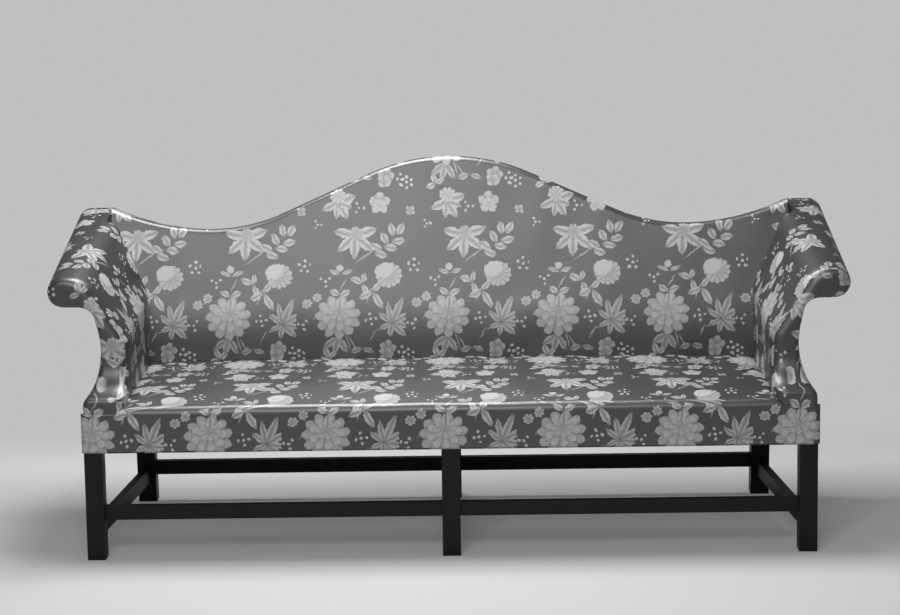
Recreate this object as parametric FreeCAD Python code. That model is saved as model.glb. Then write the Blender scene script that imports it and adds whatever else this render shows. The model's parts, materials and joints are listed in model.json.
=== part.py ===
import FreeCAD, Part
import math
import os

# Camelback sofa: six straight legs with stretchers, a webbed and stuffed seat, a serpentine back
# and arms that roll outwards. Millimetres. X runs along the sofa, Y from front to back, Z up.
# The pieces are drawn with Y = 0 at the front of the seat cover and Z = 0 at the feet,
# and the whole is centred over the origin at the end.

# Seat frame
FRAME_WIDTH = 1898.0        # over the outsides of the front legs
REAR_NARROWING = 57.0       # each side, from the front legs to the back of the rear legs
FRAME_DEPTH = 593.0         # front of the front legs to the back of the rear legs
LEG_SIDE = 47.0
RAIL_BOTTOM = 287.0
RAIL_HEIGHT = 98.0
RAIL_THICK = 32.0
CROSS_RAIL_WIDTH = 60.0
CROSS_RAIL_HEIGHT = 28.0
CROSS_RAIL_DROP = 40.0      # top of the cross rail below the top of the rails
TENON_LENGTH = 18.0
TENON_SHOULDER = 6.0        # step all round a tenon
REAR_FOOT_RAKE = 27.0       # how far the rear feet kick backwards
CORNER_BLOCK_SIDE = 70.0
CORNER_BLOCK_HEIGHT = 40.0

# Stretchers
STRETCHER_THICK = 21.0
FRONT_STRETCHER_BOTTOM = 104.0
FRONT_STRETCHER_HEIGHT = 37.0
REAR_STRETCHER_BOTTOM = 78.0
REAR_STRETCHER_HEIGHT = 39.0
SIDE_STRETCHER_BOTTOM = 58.0
SIDE_STRETCHER_HEIGHT = 42.0
PEG_RADIUS = 3.0

# Back frame, drawn upright and then leaned about the back edge of the rear rail's top
BACK_LEAN = 9.0             # degrees
BACK_FRAME_THICK = 38.0
CREST_TOP = 971.0           # top of the hump before leaning
CREST_DROP = 196.0          # from the hump down to the low points
CREST_LOW_X = 660.0         # low points, either side of the middle
CREST_SLOPE = 24.0          # degrees, on the straight flank of the hump
HUMP_RADIUS = 550.0
EAR_RADIUS = 680.0
CREST_RAIL_HEIGHT = 62.0
STAY_RAIL_BOTTOM = 425.0
STAY_RAIL_HEIGHT = 62.0
STILE_WIDTH = 50.0
STILE_SPACING = 400.0

# Padding and covers
COVER_THICK = 1.5
LAYER_GAP = 0.3             # between one layer of upholstery and the next
WADDING_THICK = 3.0
ARM_PAD = 10.0
BACK_PAD_SEAT = 145.0       # whole thickness of the back at seat level
BACK_PAD_TOP = 80.0         # whole thickness of the back at the top of the hump
BACK_BULGE = 9.0
CREST_PAD = 12.0
COVER_RETURN = 24.0         # width of the covers turned under the rails

# Seat
SEAT_EDGE_Z = 407.0         # top of the front edge
SEAT_EDGE_RADIUS = 22.0
SEAT_CROWN = 30.0           # middle of the seat above its front edge, front to back
SEAT_REAR_Z = 418.0         # where the seat runs under the back
SEAT_END_DROP = 14.0        # the seat's ends below its middle
SEAT_END_RADIUS = 60.0
SEAT_TUCK = 30.0            # how far the seat's rounded ends run under the arms
EDGE_ROLL_RADIUS = 7.0
WEB_WIDTH = 50.0
WEB_THICK = 1.6
SEAT_WEBS_LENGTHWISE = 5
SEAT_WEBS_ACROSS = 14
BACK_WEBS = 8
CANVAS_THICK = 1.0

# Arms: a scroll rolls outwards on an axis that climbs from the front to the ears of the back
ARM_FRONT = 80.0            # front of the scroll behind the front of the seat
ARM_SCROLL_RADIUS = 39.0
SCROLL_X_FRONT = 1005.0
SCROLL_X_REAR = 1014.0
SCROLL_Z_FRONT = 691.0
SCROLL_Z_REAR = 795.0
SCROLL_RUN = 590.0          # along Y between the two heights above
ARM_INSIDE = 838.0          # inside faces of the arms, from the middle of the sofa
ARM_BREAK_DROP_FRONT = 131.0    # where the inside face starts to roll out, below the scroll's centre
ARM_BREAK_DROP_REAR = 165.0
ARM_SHOULDER_FRONT = 84.0   # radius of the shoulder over the inside face
ARM_SHOULDER_REAR = 60.0
ARM_FLAT_FRONT = 12.0       # level stretch from the shoulder to the scroll
ARM_FLAT_REAR = 46.0
ARM_NECK_RADIUS = 42.0
ARM_WAIST_DROP = 146.0      # waist below the scroll's centre
ARM_WAIST_IN_FRONT = 37.0   # waist in from the outside of the base
ARM_WAIST_IN_REAR = -28.0
ARM_NECK_IN_FRONT = 26.0    # inmost point of the neck under the scroll, measured the same way
ARM_NECK_IN_REAR = -42.0
ARM_BASE_TOP = 430.0        # front corner of the base
ARM_FLARE_FOOT = 416.0      # where the outside starts to draw in
ARM_SEAM_IN = 50.0          # line between the inside and outside covers, from the inside face
ARM_SEAM_LEAN = 52.0
ARM_SWEEP = 80.0            # radius of the sweep from the arm's front down to the seat corner
STUMP_THICK = 30.0
ARM_LOWER_RAIL_HEIGHT = 34.0
ARM_LOWER_RAIL_THICK = 26.0

# Under cover and fasteners
TACK_HEAD_RADIUS = 4.0
TACK_HEAD_THICK = 1.0
TACK_SHANK_RADIUS = 0.9
TACK_SHANK_LENGTH = 9.0
TACK_PITCH = 95.0
DUST_COVER_INSET = 12.0
DUST_COVER_THICK = 0.8
DUST_COVER_LEG_GAP = 1.0

# Places that follow from the sizes above
RAIL_TOP = RAIL_BOTTOM + RAIL_HEIGHT
LEG_FRONT_Y = COVER_THICK + WADDING_THICK + 2 * LAYER_GAP
FRAME_REAR_Y = LEG_FRONT_Y + FRAME_DEPTH
HALF_FRAME = FRAME_WIDTH / 2
POST_OUTER = HALF_FRAME - REAR_NARROWING
SIDE_SLOPE = REAR_NARROWING / FRAME_DEPTH
SIDE_LAYER = COVER_THICK + WADDING_THICK + 2 * LAYER_GAP
REAR_LAYER = COVER_THICK + LAYER_GAP
COVER_BOTTOM = RAIL_BOTTOM - LAYER_GAP - COVER_THICK
SEAT_DECK = RAIL_TOP + 2 * WEB_THICK + CANVAS_THICK + LAYER_GAP
FAR = 1400.0


def box(x0, x1, y0, y1, z0, z1):
    return Part.makeBox(x1 - x0, y1 - y0, z1 - z0, FreeCAD.Vector(x0, y0, z0))


def line(a, b):
    return Part.makeLine(FreeCAD.Vector(*a), FreeCAD.Vector(*b))


def arc(a, mid, b):
    return Part.Arc(FreeCAD.Vector(*a), FreeCAD.Vector(*mid), FreeCAD.Vector(*b)).toShape()


def prism(edges, direction):
    face = Part.Face(Part.Wire(edges))
    return face.extrude(FreeCAD.Vector(*direction))


def polygon_prism(points, direction):
    edges = [line(a, b) for a, b in zip(points, points[1:] + points[:1])]
    return prism(edges, direction)


def mirrored(shape):
    return shape.mirror(FreeCAD.Vector(0, 0, 0), FreeCAD.Vector(1, 0, 0))


def leaned(shape):
    copy = shape.copy()
    copy.rotate(FreeCAD.Vector(0, FRAME_REAR_Y, RAIL_TOP), FreeCAD.Vector(1, 0, 0), -BACK_LEAN)
    return copy


def half_width(y):
    """Outside of the seat frame from the middle, at a place from front to back."""
    return HALF_FRAME - SIDE_SLOPE * (y - LEG_FRONT_Y)


# Legs

def corner_leg(inner, y, foot_shift):
    """A square leg under the right-hand end, its outside planed to follow the tapered side."""
    def plan(z, shift):
        corners = [(inner, y), (half_width(y), y), (half_width(y + LEG_SIDE), y + LEG_SIDE), (inner, y + LEG_SIDE)]
        return [(cx, cy + shift, z) for cx, cy in corners]
    top = polygon_prism(plan(RAIL_BOTTOM, 0), (0, 0, RAIL_HEIGHT))
    ends = [Part.makePolygon(points + points[:1]) for points in (plan(0, foot_shift), plan(RAIL_BOTTOM, 0))]
    return Part.makeLoft(ends, True, True).fuse(top).removeSplitter()


def raked_foot(x0, x1, y, z0, shift):
    points = [(x0, y, RAIL_BOTTOM), (x0, y + LEG_SIDE, RAIL_BOTTOM),
              (x0, y + LEG_SIDE + shift, z0), (x0, y + shift, z0)]
    return polygon_prism(points, (x1 - x0, 0, 0))


def middle_post(y, foot_shift=0.0):
    half = LEG_SIDE / 2
    top = box(-half, half, y, y + LEG_SIDE, RAIL_BOTTOM, RAIL_TOP)
    return top.fuse(raked_foot(-half, half, y, 0, foot_shift)).removeSplitter()


REAR_LEG_Y = FRAME_REAR_Y - LEG_SIDE


def rear_lean_shift(z):
    """How far a rear leg has kicked back at a height below the rails."""
    return REAR_FOOT_RAKE * (RAIL_BOTTOM - z) / RAIL_BOTTOM


# Rails of the seat, with tenons at their ends

def tenoned_bar(x0, x1, y0, y1, z0, z1):
    """A bar along X whose ends step down to tenons beyond x0 and x1."""
    bar = box(x0, x1, y0, y1, z0, z1)
    tenon = box(x0 - TENON_LENGTH, x1 + TENON_LENGTH, y0 + TENON_SHOULDER, y1 - TENON_SHOULDER,
                z0 + TENON_SHOULDER, z1 - TENON_SHOULDER)
    return bar.fuse(tenon).removeSplitter()


def side_bar(inset, thick, z0, z1, y0, y1):
    """A bar along the tapered side, between two Y places, with a tenon at each end."""
    def outline(a, b, near, far):
        return [(half_width(a) - near, a, 0), (half_width(a) - far, a, 0),
                (half_width(b) - far, b, 0), (half_width(b) - near, b, 0)]
    bar = polygon_prism(outline(y0, y1, inset, inset + thick), (0, 0, z1 - z0))
    tenon = polygon_prism(outline(y0 - TENON_LENGTH, y1 + TENON_LENGTH, inset + TENON_SHOULDER,
                                  inset + thick - TENON_SHOULDER), (0, 0, z1 - z0 - 2 * TENON_SHOULDER))
    bar.translate(FreeCAD.Vector(0, 0, z0))
    tenon.translate(FreeCAD.Vector(0, 0, z0 + TENON_SHOULDER))
    return bar.fuse(tenon).removeSplitter()


FRONT_BAR_END = HALF_FRAME - LEG_SIDE
REAR_BAR_END = POST_OUTER - LEG_SIDE


def front_rail():
    return tenoned_bar(-FRONT_BAR_END, FRONT_BAR_END, LEG_FRONT_Y, LEG_FRONT_Y + RAIL_THICK,
                       RAIL_BOTTOM, RAIL_TOP)


def rear_rail():
    return tenoned_bar(-REAR_BAR_END, REAR_BAR_END, FRAME_REAR_Y - RAIL_THICK, FRAME_REAR_Y,
                       RAIL_BOTTOM, RAIL_TOP)


def side_rail():
    return side_bar(0, RAIL_THICK, RAIL_BOTTOM, RAIL_TOP, LEG_FRONT_Y + LEG_SIDE, REAR_LEG_Y)


def cross_rail():
    z1 = RAIL_TOP - CROSS_RAIL_DROP
    half = CROSS_RAIL_WIDTH / 2
    y0 = LEG_FRONT_Y + LEG_SIDE
    bar = box(-half, half, y0, REAR_LEG_Y, z1 - CROSS_RAIL_HEIGHT, z1)
    tenon_half = half - 2 * TENON_SHOULDER
    tenon = box(-tenon_half, tenon_half, y0 - TENON_LENGTH / 2, REAR_LEG_Y + TENON_LENGTH / 2,
                z1 - CROSS_RAIL_HEIGHT + TENON_SHOULDER, z1 - TENON_SHOULDER)
    return bar.fuse(tenon).removeSplitter()


def corner_block(y_face, towards_back):
    """A triangular glue block in a corner of the right-hand end, inside the rails."""
    z1 = RAIL_TOP - CROSS_RAIL_DROP
    z0 = z1 - CORNER_BLOCK_HEIGHT
    step = CORNER_BLOCK_SIDE if towards_back else -CORNER_BLOCK_SIDE
    corner_x = half_width(y_face) - RAIL_THICK
    end_x = half_width(y_face + step) - RAIL_THICK
    points = [(corner_x, y_face, z0), (end_x, y_face + step, z0),
              (corner_x - CORNER_BLOCK_SIDE, y_face, z0)]
    return polygon_prism(points, (0, 0, z1 - z0))


# Stretchers

def front_stretcher():
    y0 = LEG_FRONT_Y + (LEG_SIDE - STRETCHER_THICK) / 2
    return tenoned_bar(LEG_SIDE / 2, FRONT_BAR_END, y0, y0 + STRETCHER_THICK, FRONT_STRETCHER_BOTTOM,
                       FRONT_STRETCHER_BOTTOM + FRONT_STRETCHER_HEIGHT)


def rear_stretcher():
    middle = REAR_STRETCHER_BOTTOM + REAR_STRETCHER_HEIGHT / 2
    y0 = REAR_LEG_Y + rear_lean_shift(middle) + (LEG_SIDE - STRETCHER_THICK) / 2
    return tenoned_bar(LEG_SIDE / 2, REAR_BAR_END, y0, y0 + STRETCHER_THICK, REAR_STRETCHER_BOTTOM,
                       REAR_STRETCHER_BOTTOM + REAR_STRETCHER_HEIGHT)


def side_stretcher():
    z0 = SIDE_STRETCHER_BOTTOM
    z1 = z0 + SIDE_STRETCHER_HEIGHT
    return side_bar((LEG_SIDE - STRETCHER_THICK) / 2, STRETCHER_THICK, z0, z1,
                    LEG_FRONT_Y + LEG_SIDE, REAR_LEG_Y + rear_lean_shift(z1))


def medial_stretcher():
    z0 = SIDE_STRETCHER_BOTTOM
    z1 = z0 + SIDE_STRETCHER_HEIGHT
    half = STRETCHER_THICK / 2
    y0 = LEG_FRONT_Y + LEG_SIDE
    y1 = REAR_LEG_Y + rear_lean_shift(z1)
    bar = box(-half, half, y0, y1, z0, z1)
    tenon = box(-half + TENON_SHOULDER, half - TENON_SHOULDER, y0 - TENON_LENGTH, y1 + TENON_LENGTH,
                z0 + TENON_SHOULDER, z1 - TENON_SHOULDER)
    return bar.fuse(tenon).removeSplitter()


# The serpentine crest, as a curve in the upright plane of the back

def crest_edges(drop, y, x_end):
    """Right-hand half of the crest line, sunk by drop, from the middle out to x_end."""
    slope = math.radians(CREST_SLOPE)
    rise = 1 - math.cos(slope)
    run = CREST_LOW_X - HUMP_RADIUS * math.sin(slope)
    fall = CREST_DROP - HUMP_RADIUS * rise
    low_radius = (run * math.tan(slope) - fall) / (math.sin(slope) * math.tan(slope) - rise)
    hump = HUMP_RADIUS - drop
    low = low_radius + drop
    ear = EAR_RADIUS + drop
    hump_z = CREST_TOP - HUMP_RADIUS
    low_z = CREST_TOP - CREST_DROP + low_radius
    ear_z = CREST_TOP - CREST_DROP + EAR_RADIUS

    def on(cx, cz, radius, angle, side):
        return (cx + radius * math.sin(angle), y, cz + side * radius * math.cos(angle))

    ear_angle = math.asin((x_end - CREST_LOW_X) / ear)
    start = on(0, hump_z, hump, 0, 1)
    flank_top = on(0, hump_z, hump, slope, 1)
    flank_foot = on(CREST_LOW_X, low_z, low, -slope, -1)
    lowest = on(CREST_LOW_X, low_z, low, 0, -1)
    end = on(CREST_LOW_X, ear_z, ear, ear_angle, -1)
    return [arc(start, on(0, hump_z, hump, slope / 2, 1), flank_top),
            line(flank_top, flank_foot),
            arc(flank_foot, on(CREST_LOW_X, low_z, low, -slope / 2, -1), lowest),
            arc(lowest, on(CREST_LOW_X, ear_z, ear, ear_angle / 2, -1), end)]


def below_crest(drop, y0, y1, x_end):
    """Everything under the crest line between two upright planes, both halves, before leaning."""
    edges = crest_edges(drop, y0, x_end)
    start = edges[0].Vertexes[0].Point
    end = edges[-1].Vertexes[-1].Point
    foot = -FAR
    edges += [line(tuple(end), (x_end, y0, foot)), line((x_end, y0, foot), (0, y0, foot)),
              line((0, y0, foot), tuple(start))]
    right = prism(edges, (0, y1 - y0, 0))
    return right.fuse(mirrored(right)).removeSplitter()


def back_side_profile(inset):
    """The back seen from the side before leaning: flat behind, full and rounded in front."""
    rear = FRAME_REAR_Y + REAR_LAYER - inset
    z0 = COVER_BOTTOM
    z1 = CREST_TOP + ARM_SCROLL_RADIUS
    taper = (BACK_PAD_SEAT - BACK_PAD_TOP) / (CREST_TOP - SEAT_REAR_Z)
    low_front = FRAME_REAR_Y + REAR_LAYER - BACK_PAD_SEAT + inset - taper * (SEAT_REAR_Z - z0)
    high_front = FRAME_REAR_Y + REAR_LAYER - BACK_PAD_TOP + inset + taper * (z1 - CREST_TOP)
    middle = ((low_front + high_front) / 2 - BACK_BULGE, (z0 + z1) / 2)
    return [line((-FAR, rear, z0), (-FAR, rear, z1)),
            line((-FAR, rear, z1), (-FAR, high_front, z1)),
            arc((-FAR, high_front, z1), (-FAR,) + middle, (-FAR, low_front, z0)),
            line((-FAR, low_front, z0), (-FAR, rear, z0))]


def back_skin(inset):
    """The whole upholstered back, sunk by inset, as far out as the scrolls of the arms."""
    x_end = SCROLL_X_REAR - ARM_FLAT_REAR - ARM_SHOULDER_REAR / 3
    outline = below_crest(inset, 0, FAR, x_end)
    side = prism(back_side_profile(inset), (2 * FAR, 0, 0))
    return leaned(outline.common(side))


# Arms, drawn at the right-hand end

def arm_outside_points(y, inset):
    """Foot and outside of the arm's section: the flare from the base in to the waist and neck."""
    t = (y - ARM_FRONT) / SCROLL_RUN
    cz = SCROLL_Z_FRONT + (SCROLL_Z_REAR - SCROLL_Z_FRONT) * t
    outside = half_width(y) + SIDE_LAYER
    neck_in = ARM_NECK_IN_FRONT + (ARM_NECK_IN_REAR - ARM_NECK_IN_FRONT) * t
    waist_in = ARM_WAIST_IN_FRONT + (ARM_WAIST_IN_REAR - ARM_WAIST_IN_FRONT) * t
    foot_in = (ARM_INSIDE + inset, y, COVER_BOTTOM)
    foot_out = (outside - inset, y, COVER_BOTTOM)
    base_top = (outside - inset, y, ARM_FLARE_FOOT - inset)
    waist = (outside - waist_in - inset, y, cz - ARM_WAIST_DROP)
    neck_side = (outside - neck_in - inset, y, cz - ARM_SCROLL_RADIUS - ARM_NECK_RADIUS)
    return foot_in, foot_out, base_top, waist, neck_side


def arm_section(y, inset):
    """Section across the arm at one place from front to back, sunk by inset all round."""
    t = (y - ARM_FRONT) / SCROLL_RUN
    cx = SCROLL_X_FRONT + (SCROLL_X_REAR - SCROLL_X_FRONT) * t
    cz = SCROLL_Z_FRONT + (SCROLL_Z_REAR - SCROLL_Z_FRONT) * t
    r = ARM_SCROLL_RADIUS - inset
    inner_x = ARM_INSIDE + inset
    break_z = cz - ARM_BREAK_DROP_FRONT - (ARM_BREAK_DROP_REAR - ARM_BREAK_DROP_FRONT) * t
    full_shoulder = ARM_SHOULDER_FRONT + (ARM_SHOULDER_REAR - ARM_SHOULDER_FRONT) * t
    shoulder = full_shoulder - inset
    shoulder_x = cx - ARM_FLAT_FRONT - (ARM_FLAT_REAR - ARM_FLAT_FRONT) * t
    shoulder_z = cz + ARM_SCROLL_RADIUS - full_shoulder
    to_x = shoulder_x - inner_x
    to_z = shoulder_z - break_z
    reach = math.hypot(to_x, to_z)
    rise = math.atan2(to_z, to_x) + math.asin(shoulder / reach)
    touch = math.sqrt(reach * reach - shoulder * shoulder)
    touch_x = inner_x + touch * math.cos(rise)
    touch_z = break_z + touch * math.sin(rise)
    half = (math.atan2(touch_z - shoulder_z, touch_x - shoulder_x) + math.pi / 2) / 2
    shoulder_mid = (shoulder_x + shoulder * math.cos(half), y, shoulder_z + shoulder * math.sin(half))
    foot_in, foot_out, base_top, waist, neck_side = arm_outside_points(y, inset)
    neck = ARM_NECK_RADIUS + inset
    neck_x = neck_side[0] + neck
    neck_z = neck_side[2]
    s = math.sqrt(0.5)
    knee = (inner_x, y, break_z)
    touch_point = (touch_x, y, touch_z)
    shoulder_top = (shoulder_x, y, cz + r)
    top = (cx, y, cz + r)
    outer = (cx + r, y, cz)
    under = (cx, y, cz - r)
    neck_top = (neck_x, y, neck_z + neck)
    return Part.Wire([
        line(foot_in, knee),
        line(knee, touch_point),
        arc(touch_point, shoulder_mid, shoulder_top),
        line(shoulder_top, top),
        arc(top, (cx + s * r, y, cz + s * r), outer),
        arc(outer, (cx + s * r, y, cz - s * r), under),
        line(under, neck_top),
        arc(neck_top, (neck_x - s * neck, y, neck_z + s * neck), neck_side),
        arc(neck_side, waist, base_top),
        line(base_top, foot_out),
        line(foot_out, foot_in)])


def arm_toe(inset):
    """The foot of the arm's front, which sweeps forward and down to the corner of the seat."""
    x = ARM_INSIDE / 2
    front = COVER_THICK + LAYER_GAP + inset
    back = ARM_FRONT + inset
    radius = ARM_SWEEP + inset
    centre_y = ARM_FRONT - ARM_SWEEP
    centre_z = ARM_BASE_TOP + ARM_SWEEP
    low = math.acos((front - centre_y) / radius)
    foot = (x, front, centre_z - radius * math.sin(low))
    middle = (x, centre_y + radius * math.cos(low / 2), centre_z - radius * math.sin(low / 2))
    top = (x, back, centre_z)
    under_sweep = prism([line((x, front, COVER_BOTTOM), foot), arc(foot, middle, top),
                         line(top, (x, back, COVER_BOTTOM)),
                         line((x, back, COVER_BOTTOM), (x, front, COVER_BOTTOM))], (FAR, 0, 0))
    foot_in, foot_out, base_top, waist, neck_side = arm_outside_points(back, inset)
    inner_top = (foot_in[0], back, neck_side[2])
    reach = back - front + LEG_SIDE
    block = prism([line(foot_in, inner_top), line(inner_top, neck_side), arc(neck_side, waist, base_top),
                   line(base_top, foot_out), line(foot_out, foot_in)], (SIDE_SLOPE * reach, -reach, 0))
    return block.common(under_sweep)


def behind_frame(clear):
    """Everything behind the rear rail and the leaning back frame, clear of them by a distance."""
    lean = math.radians(BACK_LEAN)
    rear = FRAME_REAR_Y + clear
    turn_z = RAIL_TOP + clear * math.tan(lean / 2)
    rise = FAR - turn_z
    return polygon_prism([(-FAR, rear, -FAR), (-FAR, rear, turn_z), (-FAR, rear + rise * math.tan(lean), FAR),
                          (-FAR, 2 * FAR, FAR), (-FAR, 2 * FAR, -FAR)], (2 * FAR, 0, 0))


ARM_LOFT_END = FRAME_REAR_Y + 3 * LEG_SIDE


def arm_skin(inset):
    """The whole upholstered arm, sunk by inset."""
    body = Part.makeLoft([arm_section(ARM_FRONT + inset, inset), arm_section(ARM_LOFT_END, inset)], True, True)
    return body.cut(behind_frame(REAR_LAYER - inset)).fuse(arm_toe(inset))


# Seat

def seat_skin(inset):
    """The seat's outer form, sunk by inset, before the arms and the back are taken away."""
    low = COVER_BOTTOM - FAR / 4
    rear = FRAME_REAR_Y
    top = SEAT_EDGE_Z - inset
    radius = SEAT_EDGE_RADIUS - inset
    s = math.sqrt(0.5)
    corner = SEAT_EDGE_RADIUS
    crown_y = rear / 2
    side = [line((-FAR, inset, low), (-FAR, inset, top - radius)),
            arc((-FAR, inset, top - radius), (-FAR, corner - s * radius, top - radius + s * radius),
                (-FAR, corner, top)),
            arc((-FAR, corner, top), (-FAR, crown_y, SEAT_EDGE_Z + SEAT_CROWN - inset),
                (-FAR, rear, SEAT_REAR_Z - inset)),
            line((-FAR, rear, SEAT_REAR_Z - inset), (-FAR, rear, low)),
            line((-FAR, rear, low), (-FAR, inset, low))]
    along_x = prism(side, (2 * FAR, 0, 0))
    shoulder = SEAT_END_RADIUS - inset
    peak = SEAT_EDGE_Z + SEAT_CROWN - inset
    end_z = SEAT_EDGE_Z + SEAT_CROWN - SEAT_END_DROP
    turn_x = ARM_INSIDE + SEAT_TUCK - SEAT_END_RADIUS
    turn_z = end_z - SEAT_END_RADIUS
    side_x = turn_x + shoulder
    edges = [line((-side_x, 0, low), (-side_x, 0, turn_z)),
             arc((-side_x, 0, turn_z), (-turn_x - s * shoulder, 0, turn_z + s * shoulder),
                 (-turn_x, 0, end_z - inset)),
             arc((-turn_x, 0, end_z - inset), (0, 0, peak), (turn_x, 0, end_z - inset)),
             arc((turn_x, 0, end_z - inset), (turn_x + s * shoulder, 0, turn_z + s * shoulder),
                 (side_x, 0, turn_z)),
             line((side_x, 0, turn_z), (side_x, 0, low)),
             line((side_x, 0, low), (-side_x, 0, low))]
    along_y = prism(edges, (0, FAR, 0))
    return along_x.common(along_y)


def strips(count, span, width):
    """Near edges of evenly spaced strips across a span centred on zero."""
    pitch = span / count
    return [-span / 2 + pitch * (i + 0.5) - width / 2 for i in range(count)]


def cut_all(shape, tools):
    """Take away each of the tools that comes near the shape."""
    near = [tool for tool in tools if shape.BoundBox.intersect(tool.BoundBox)]
    return shape.cut(near) if near else shape


def largest(shape):
    return max(shape.Solids, key=lambda solid: solid.Volume)


def both_sides(parts, name, shape):
    parts[name + "_right"] = [shape]
    parts[name + "_left"] = [mirrored(shape)]


def above_deck():
    return box(-FAR, FAR, -FAR, FAR, SEAT_DECK, FAR)


CREST_SINK = COVER_THICK + LAYER_GAP + CREST_PAD
CREST_UNDER = CREST_SINK + CREST_RAIL_HEIGHT
BACK_FRAME_Y = FRAME_REAR_Y - BACK_FRAME_THICK


def peg(x, y, z, direction, length):
    return Part.makeCylinder(PEG_RADIUS, length, FreeCAD.Vector(x, y, z), FreeCAD.Vector(*direction))


def stretcher_pegs():
    """Pegs through the stretchers' tenons, driven from the hidden faces of the legs."""
    front_z = FRONT_STRETCHER_BOTTOM + FRONT_STRETCHER_HEIGHT / 2
    rear_z = REAR_STRETCHER_BOTTOM + REAR_STRETCHER_HEIGHT / 2
    side_z = SIDE_STRETCHER_BOTTOM + SIDE_STRETCHER_HEIGHT / 2
    depth = LEG_SIDE / 2 + STRETCHER_THICK / 2
    middle = LEG_SIDE / 2
    tenon_middle = TENON_LENGTH / 2
    pegs = []
    for x in (middle - tenon_middle, FRONT_BAR_END + tenon_middle):
        pegs.append(peg(x, LEG_FRONT_Y + LEG_SIDE, front_z, (0, -1, 0), depth))
    rear_y = REAR_LEG_Y + rear_lean_shift(rear_z) + LEG_SIDE
    for x in (middle - tenon_middle, REAR_BAR_END + tenon_middle):
        pegs.append(peg(x, rear_y, rear_z, (0, -1, 0), depth))
    rear_side_y = REAR_LEG_Y + rear_lean_shift(side_z) + tenon_middle
    pegs.append(peg(FRONT_BAR_END, LEG_FRONT_Y + LEG_SIDE - tenon_middle, side_z, (1, 0, 0), depth))
    pegs.append(peg(REAR_BAR_END, rear_side_y, side_z, (1, 0, 0), depth))
    return pegs + [mirrored(one) for one in pegs]


def seat_frame():
    """Legs, rails, cross rail, stretchers and pegs."""
    bars = {"front_seat_rail": front_rail(), "rear_seat_rail": rear_rail(),
            "seat_cross_rail": cross_rail(), "medial_stretcher": medial_stretcher()}
    both = {"side_seat_rail": side_rail(), "front_stretcher": front_stretcher(),
            "rear_stretcher": rear_stretcher(), "side_stretcher": side_stretcher()}
    for name, bar in both.items():
        bars[name + "_right"] = bar
        bars[name + "_left"] = mirrored(bar)
    # where two tenons meet inside a leg, the second stops at the first
    first = [bars["front_seat_rail"], bars["rear_seat_rail"]]
    for name in ("side_seat_rail_left", "side_seat_rail_right", "seat_cross_rail"):
        bars[name] = largest(bars[name].cut(first))

    post = leaned(box(POST_OUTER - LEG_SIDE, POST_OUTER, BACK_FRAME_Y, FRAME_REAR_Y, RAIL_TOP - LEG_SIDE, FAR))
    post = post.common(leaned(below_crest(CREST_UNDER, 0, FAR, SCROLL_X_FRONT)))
    post = post.common(box(0, FAR, 0, FAR, RAIL_TOP, FAR))
    rear_leg = corner_leg(REAR_BAR_END, REAR_LEG_Y, REAR_FOOT_RAKE).fuse(post).removeSplitter()
    front_leg = corner_leg(FRONT_BAR_END, LEG_FRONT_Y, 0)
    legs = {"front_leg_right": front_leg, "front_leg_left": mirrored(front_leg),
            "front_leg_center": middle_post(LEG_FRONT_Y),
            "rear_leg_right": rear_leg, "rear_leg_left": mirrored(rear_leg),
            "rear_leg_center": middle_post(REAR_LEG_Y, REAR_FOOT_RAKE)}
    pegs = stretcher_pegs()
    parts = {}
    for name, leg in legs.items():
        parts[name] = [largest(cut_all(leg, list(bars.values()) + pegs))]
    for name, bar in bars.items():
        parts[name] = [largest(cut_all(bar, pegs))]
    parts["stretcher_pegs"] = pegs
    right_blocks = [corner_block(LEG_FRONT_Y + RAIL_THICK, True), corner_block(FRAME_REAR_Y - RAIL_THICK, False)]
    blocks = [largest(block.cut([front_leg, rear_leg])) for block in right_blocks]
    parts["corner_blocks"] = blocks + [mirrored(block) for block in blocks]
    return parts


def back_frame():
    """Stay rail, crest rail and upright stiles."""
    parts = {}
    stay = box(-REAR_BAR_END, REAR_BAR_END, BACK_FRAME_Y, FRAME_REAR_Y, STAY_RAIL_BOTTOM,
               STAY_RAIL_BOTTOM + STAY_RAIL_HEIGHT)
    under_crest = below_crest(CREST_UNDER, 0, FAR, SCROLL_X_FRONT)
    crest = below_crest(CREST_SINK, BACK_FRAME_Y, FRAME_REAR_Y, POST_OUTER).cut(under_crest)
    parts["stay_rail"] = [leaned(stay)]
    parts["crest_rail"] = [leaned(largest(crest))]
    for name, x in (("left", -STILE_SPACING), ("center", 0), ("right", STILE_SPACING)):
        stile = box(x - STILE_WIDTH / 2, x + STILE_WIDTH / 2, BACK_FRAME_Y, FRAME_REAR_Y,
                    STAY_RAIL_BOTTOM + STAY_RAIL_HEIGHT, FAR)
        parts["back_stile_" + name] = [leaned(largest(stile.common(under_crest)))]
    return parts


WOOD_INSET = COVER_THICK + 2 * LAYER_GAP + ARM_PAD
STUMP_Y = ARM_FRONT + WOOD_INSET


def scroll_axis(y):
    t = (y - ARM_FRONT) / SCROLL_RUN
    return FreeCAD.Vector(SCROLL_X_FRONT + (SCROLL_X_REAR - SCROLL_X_FRONT) * t, y,
                          SCROLL_Z_FRONT + (SCROLL_Z_REAR - SCROLL_Z_FRONT) * t)


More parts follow.
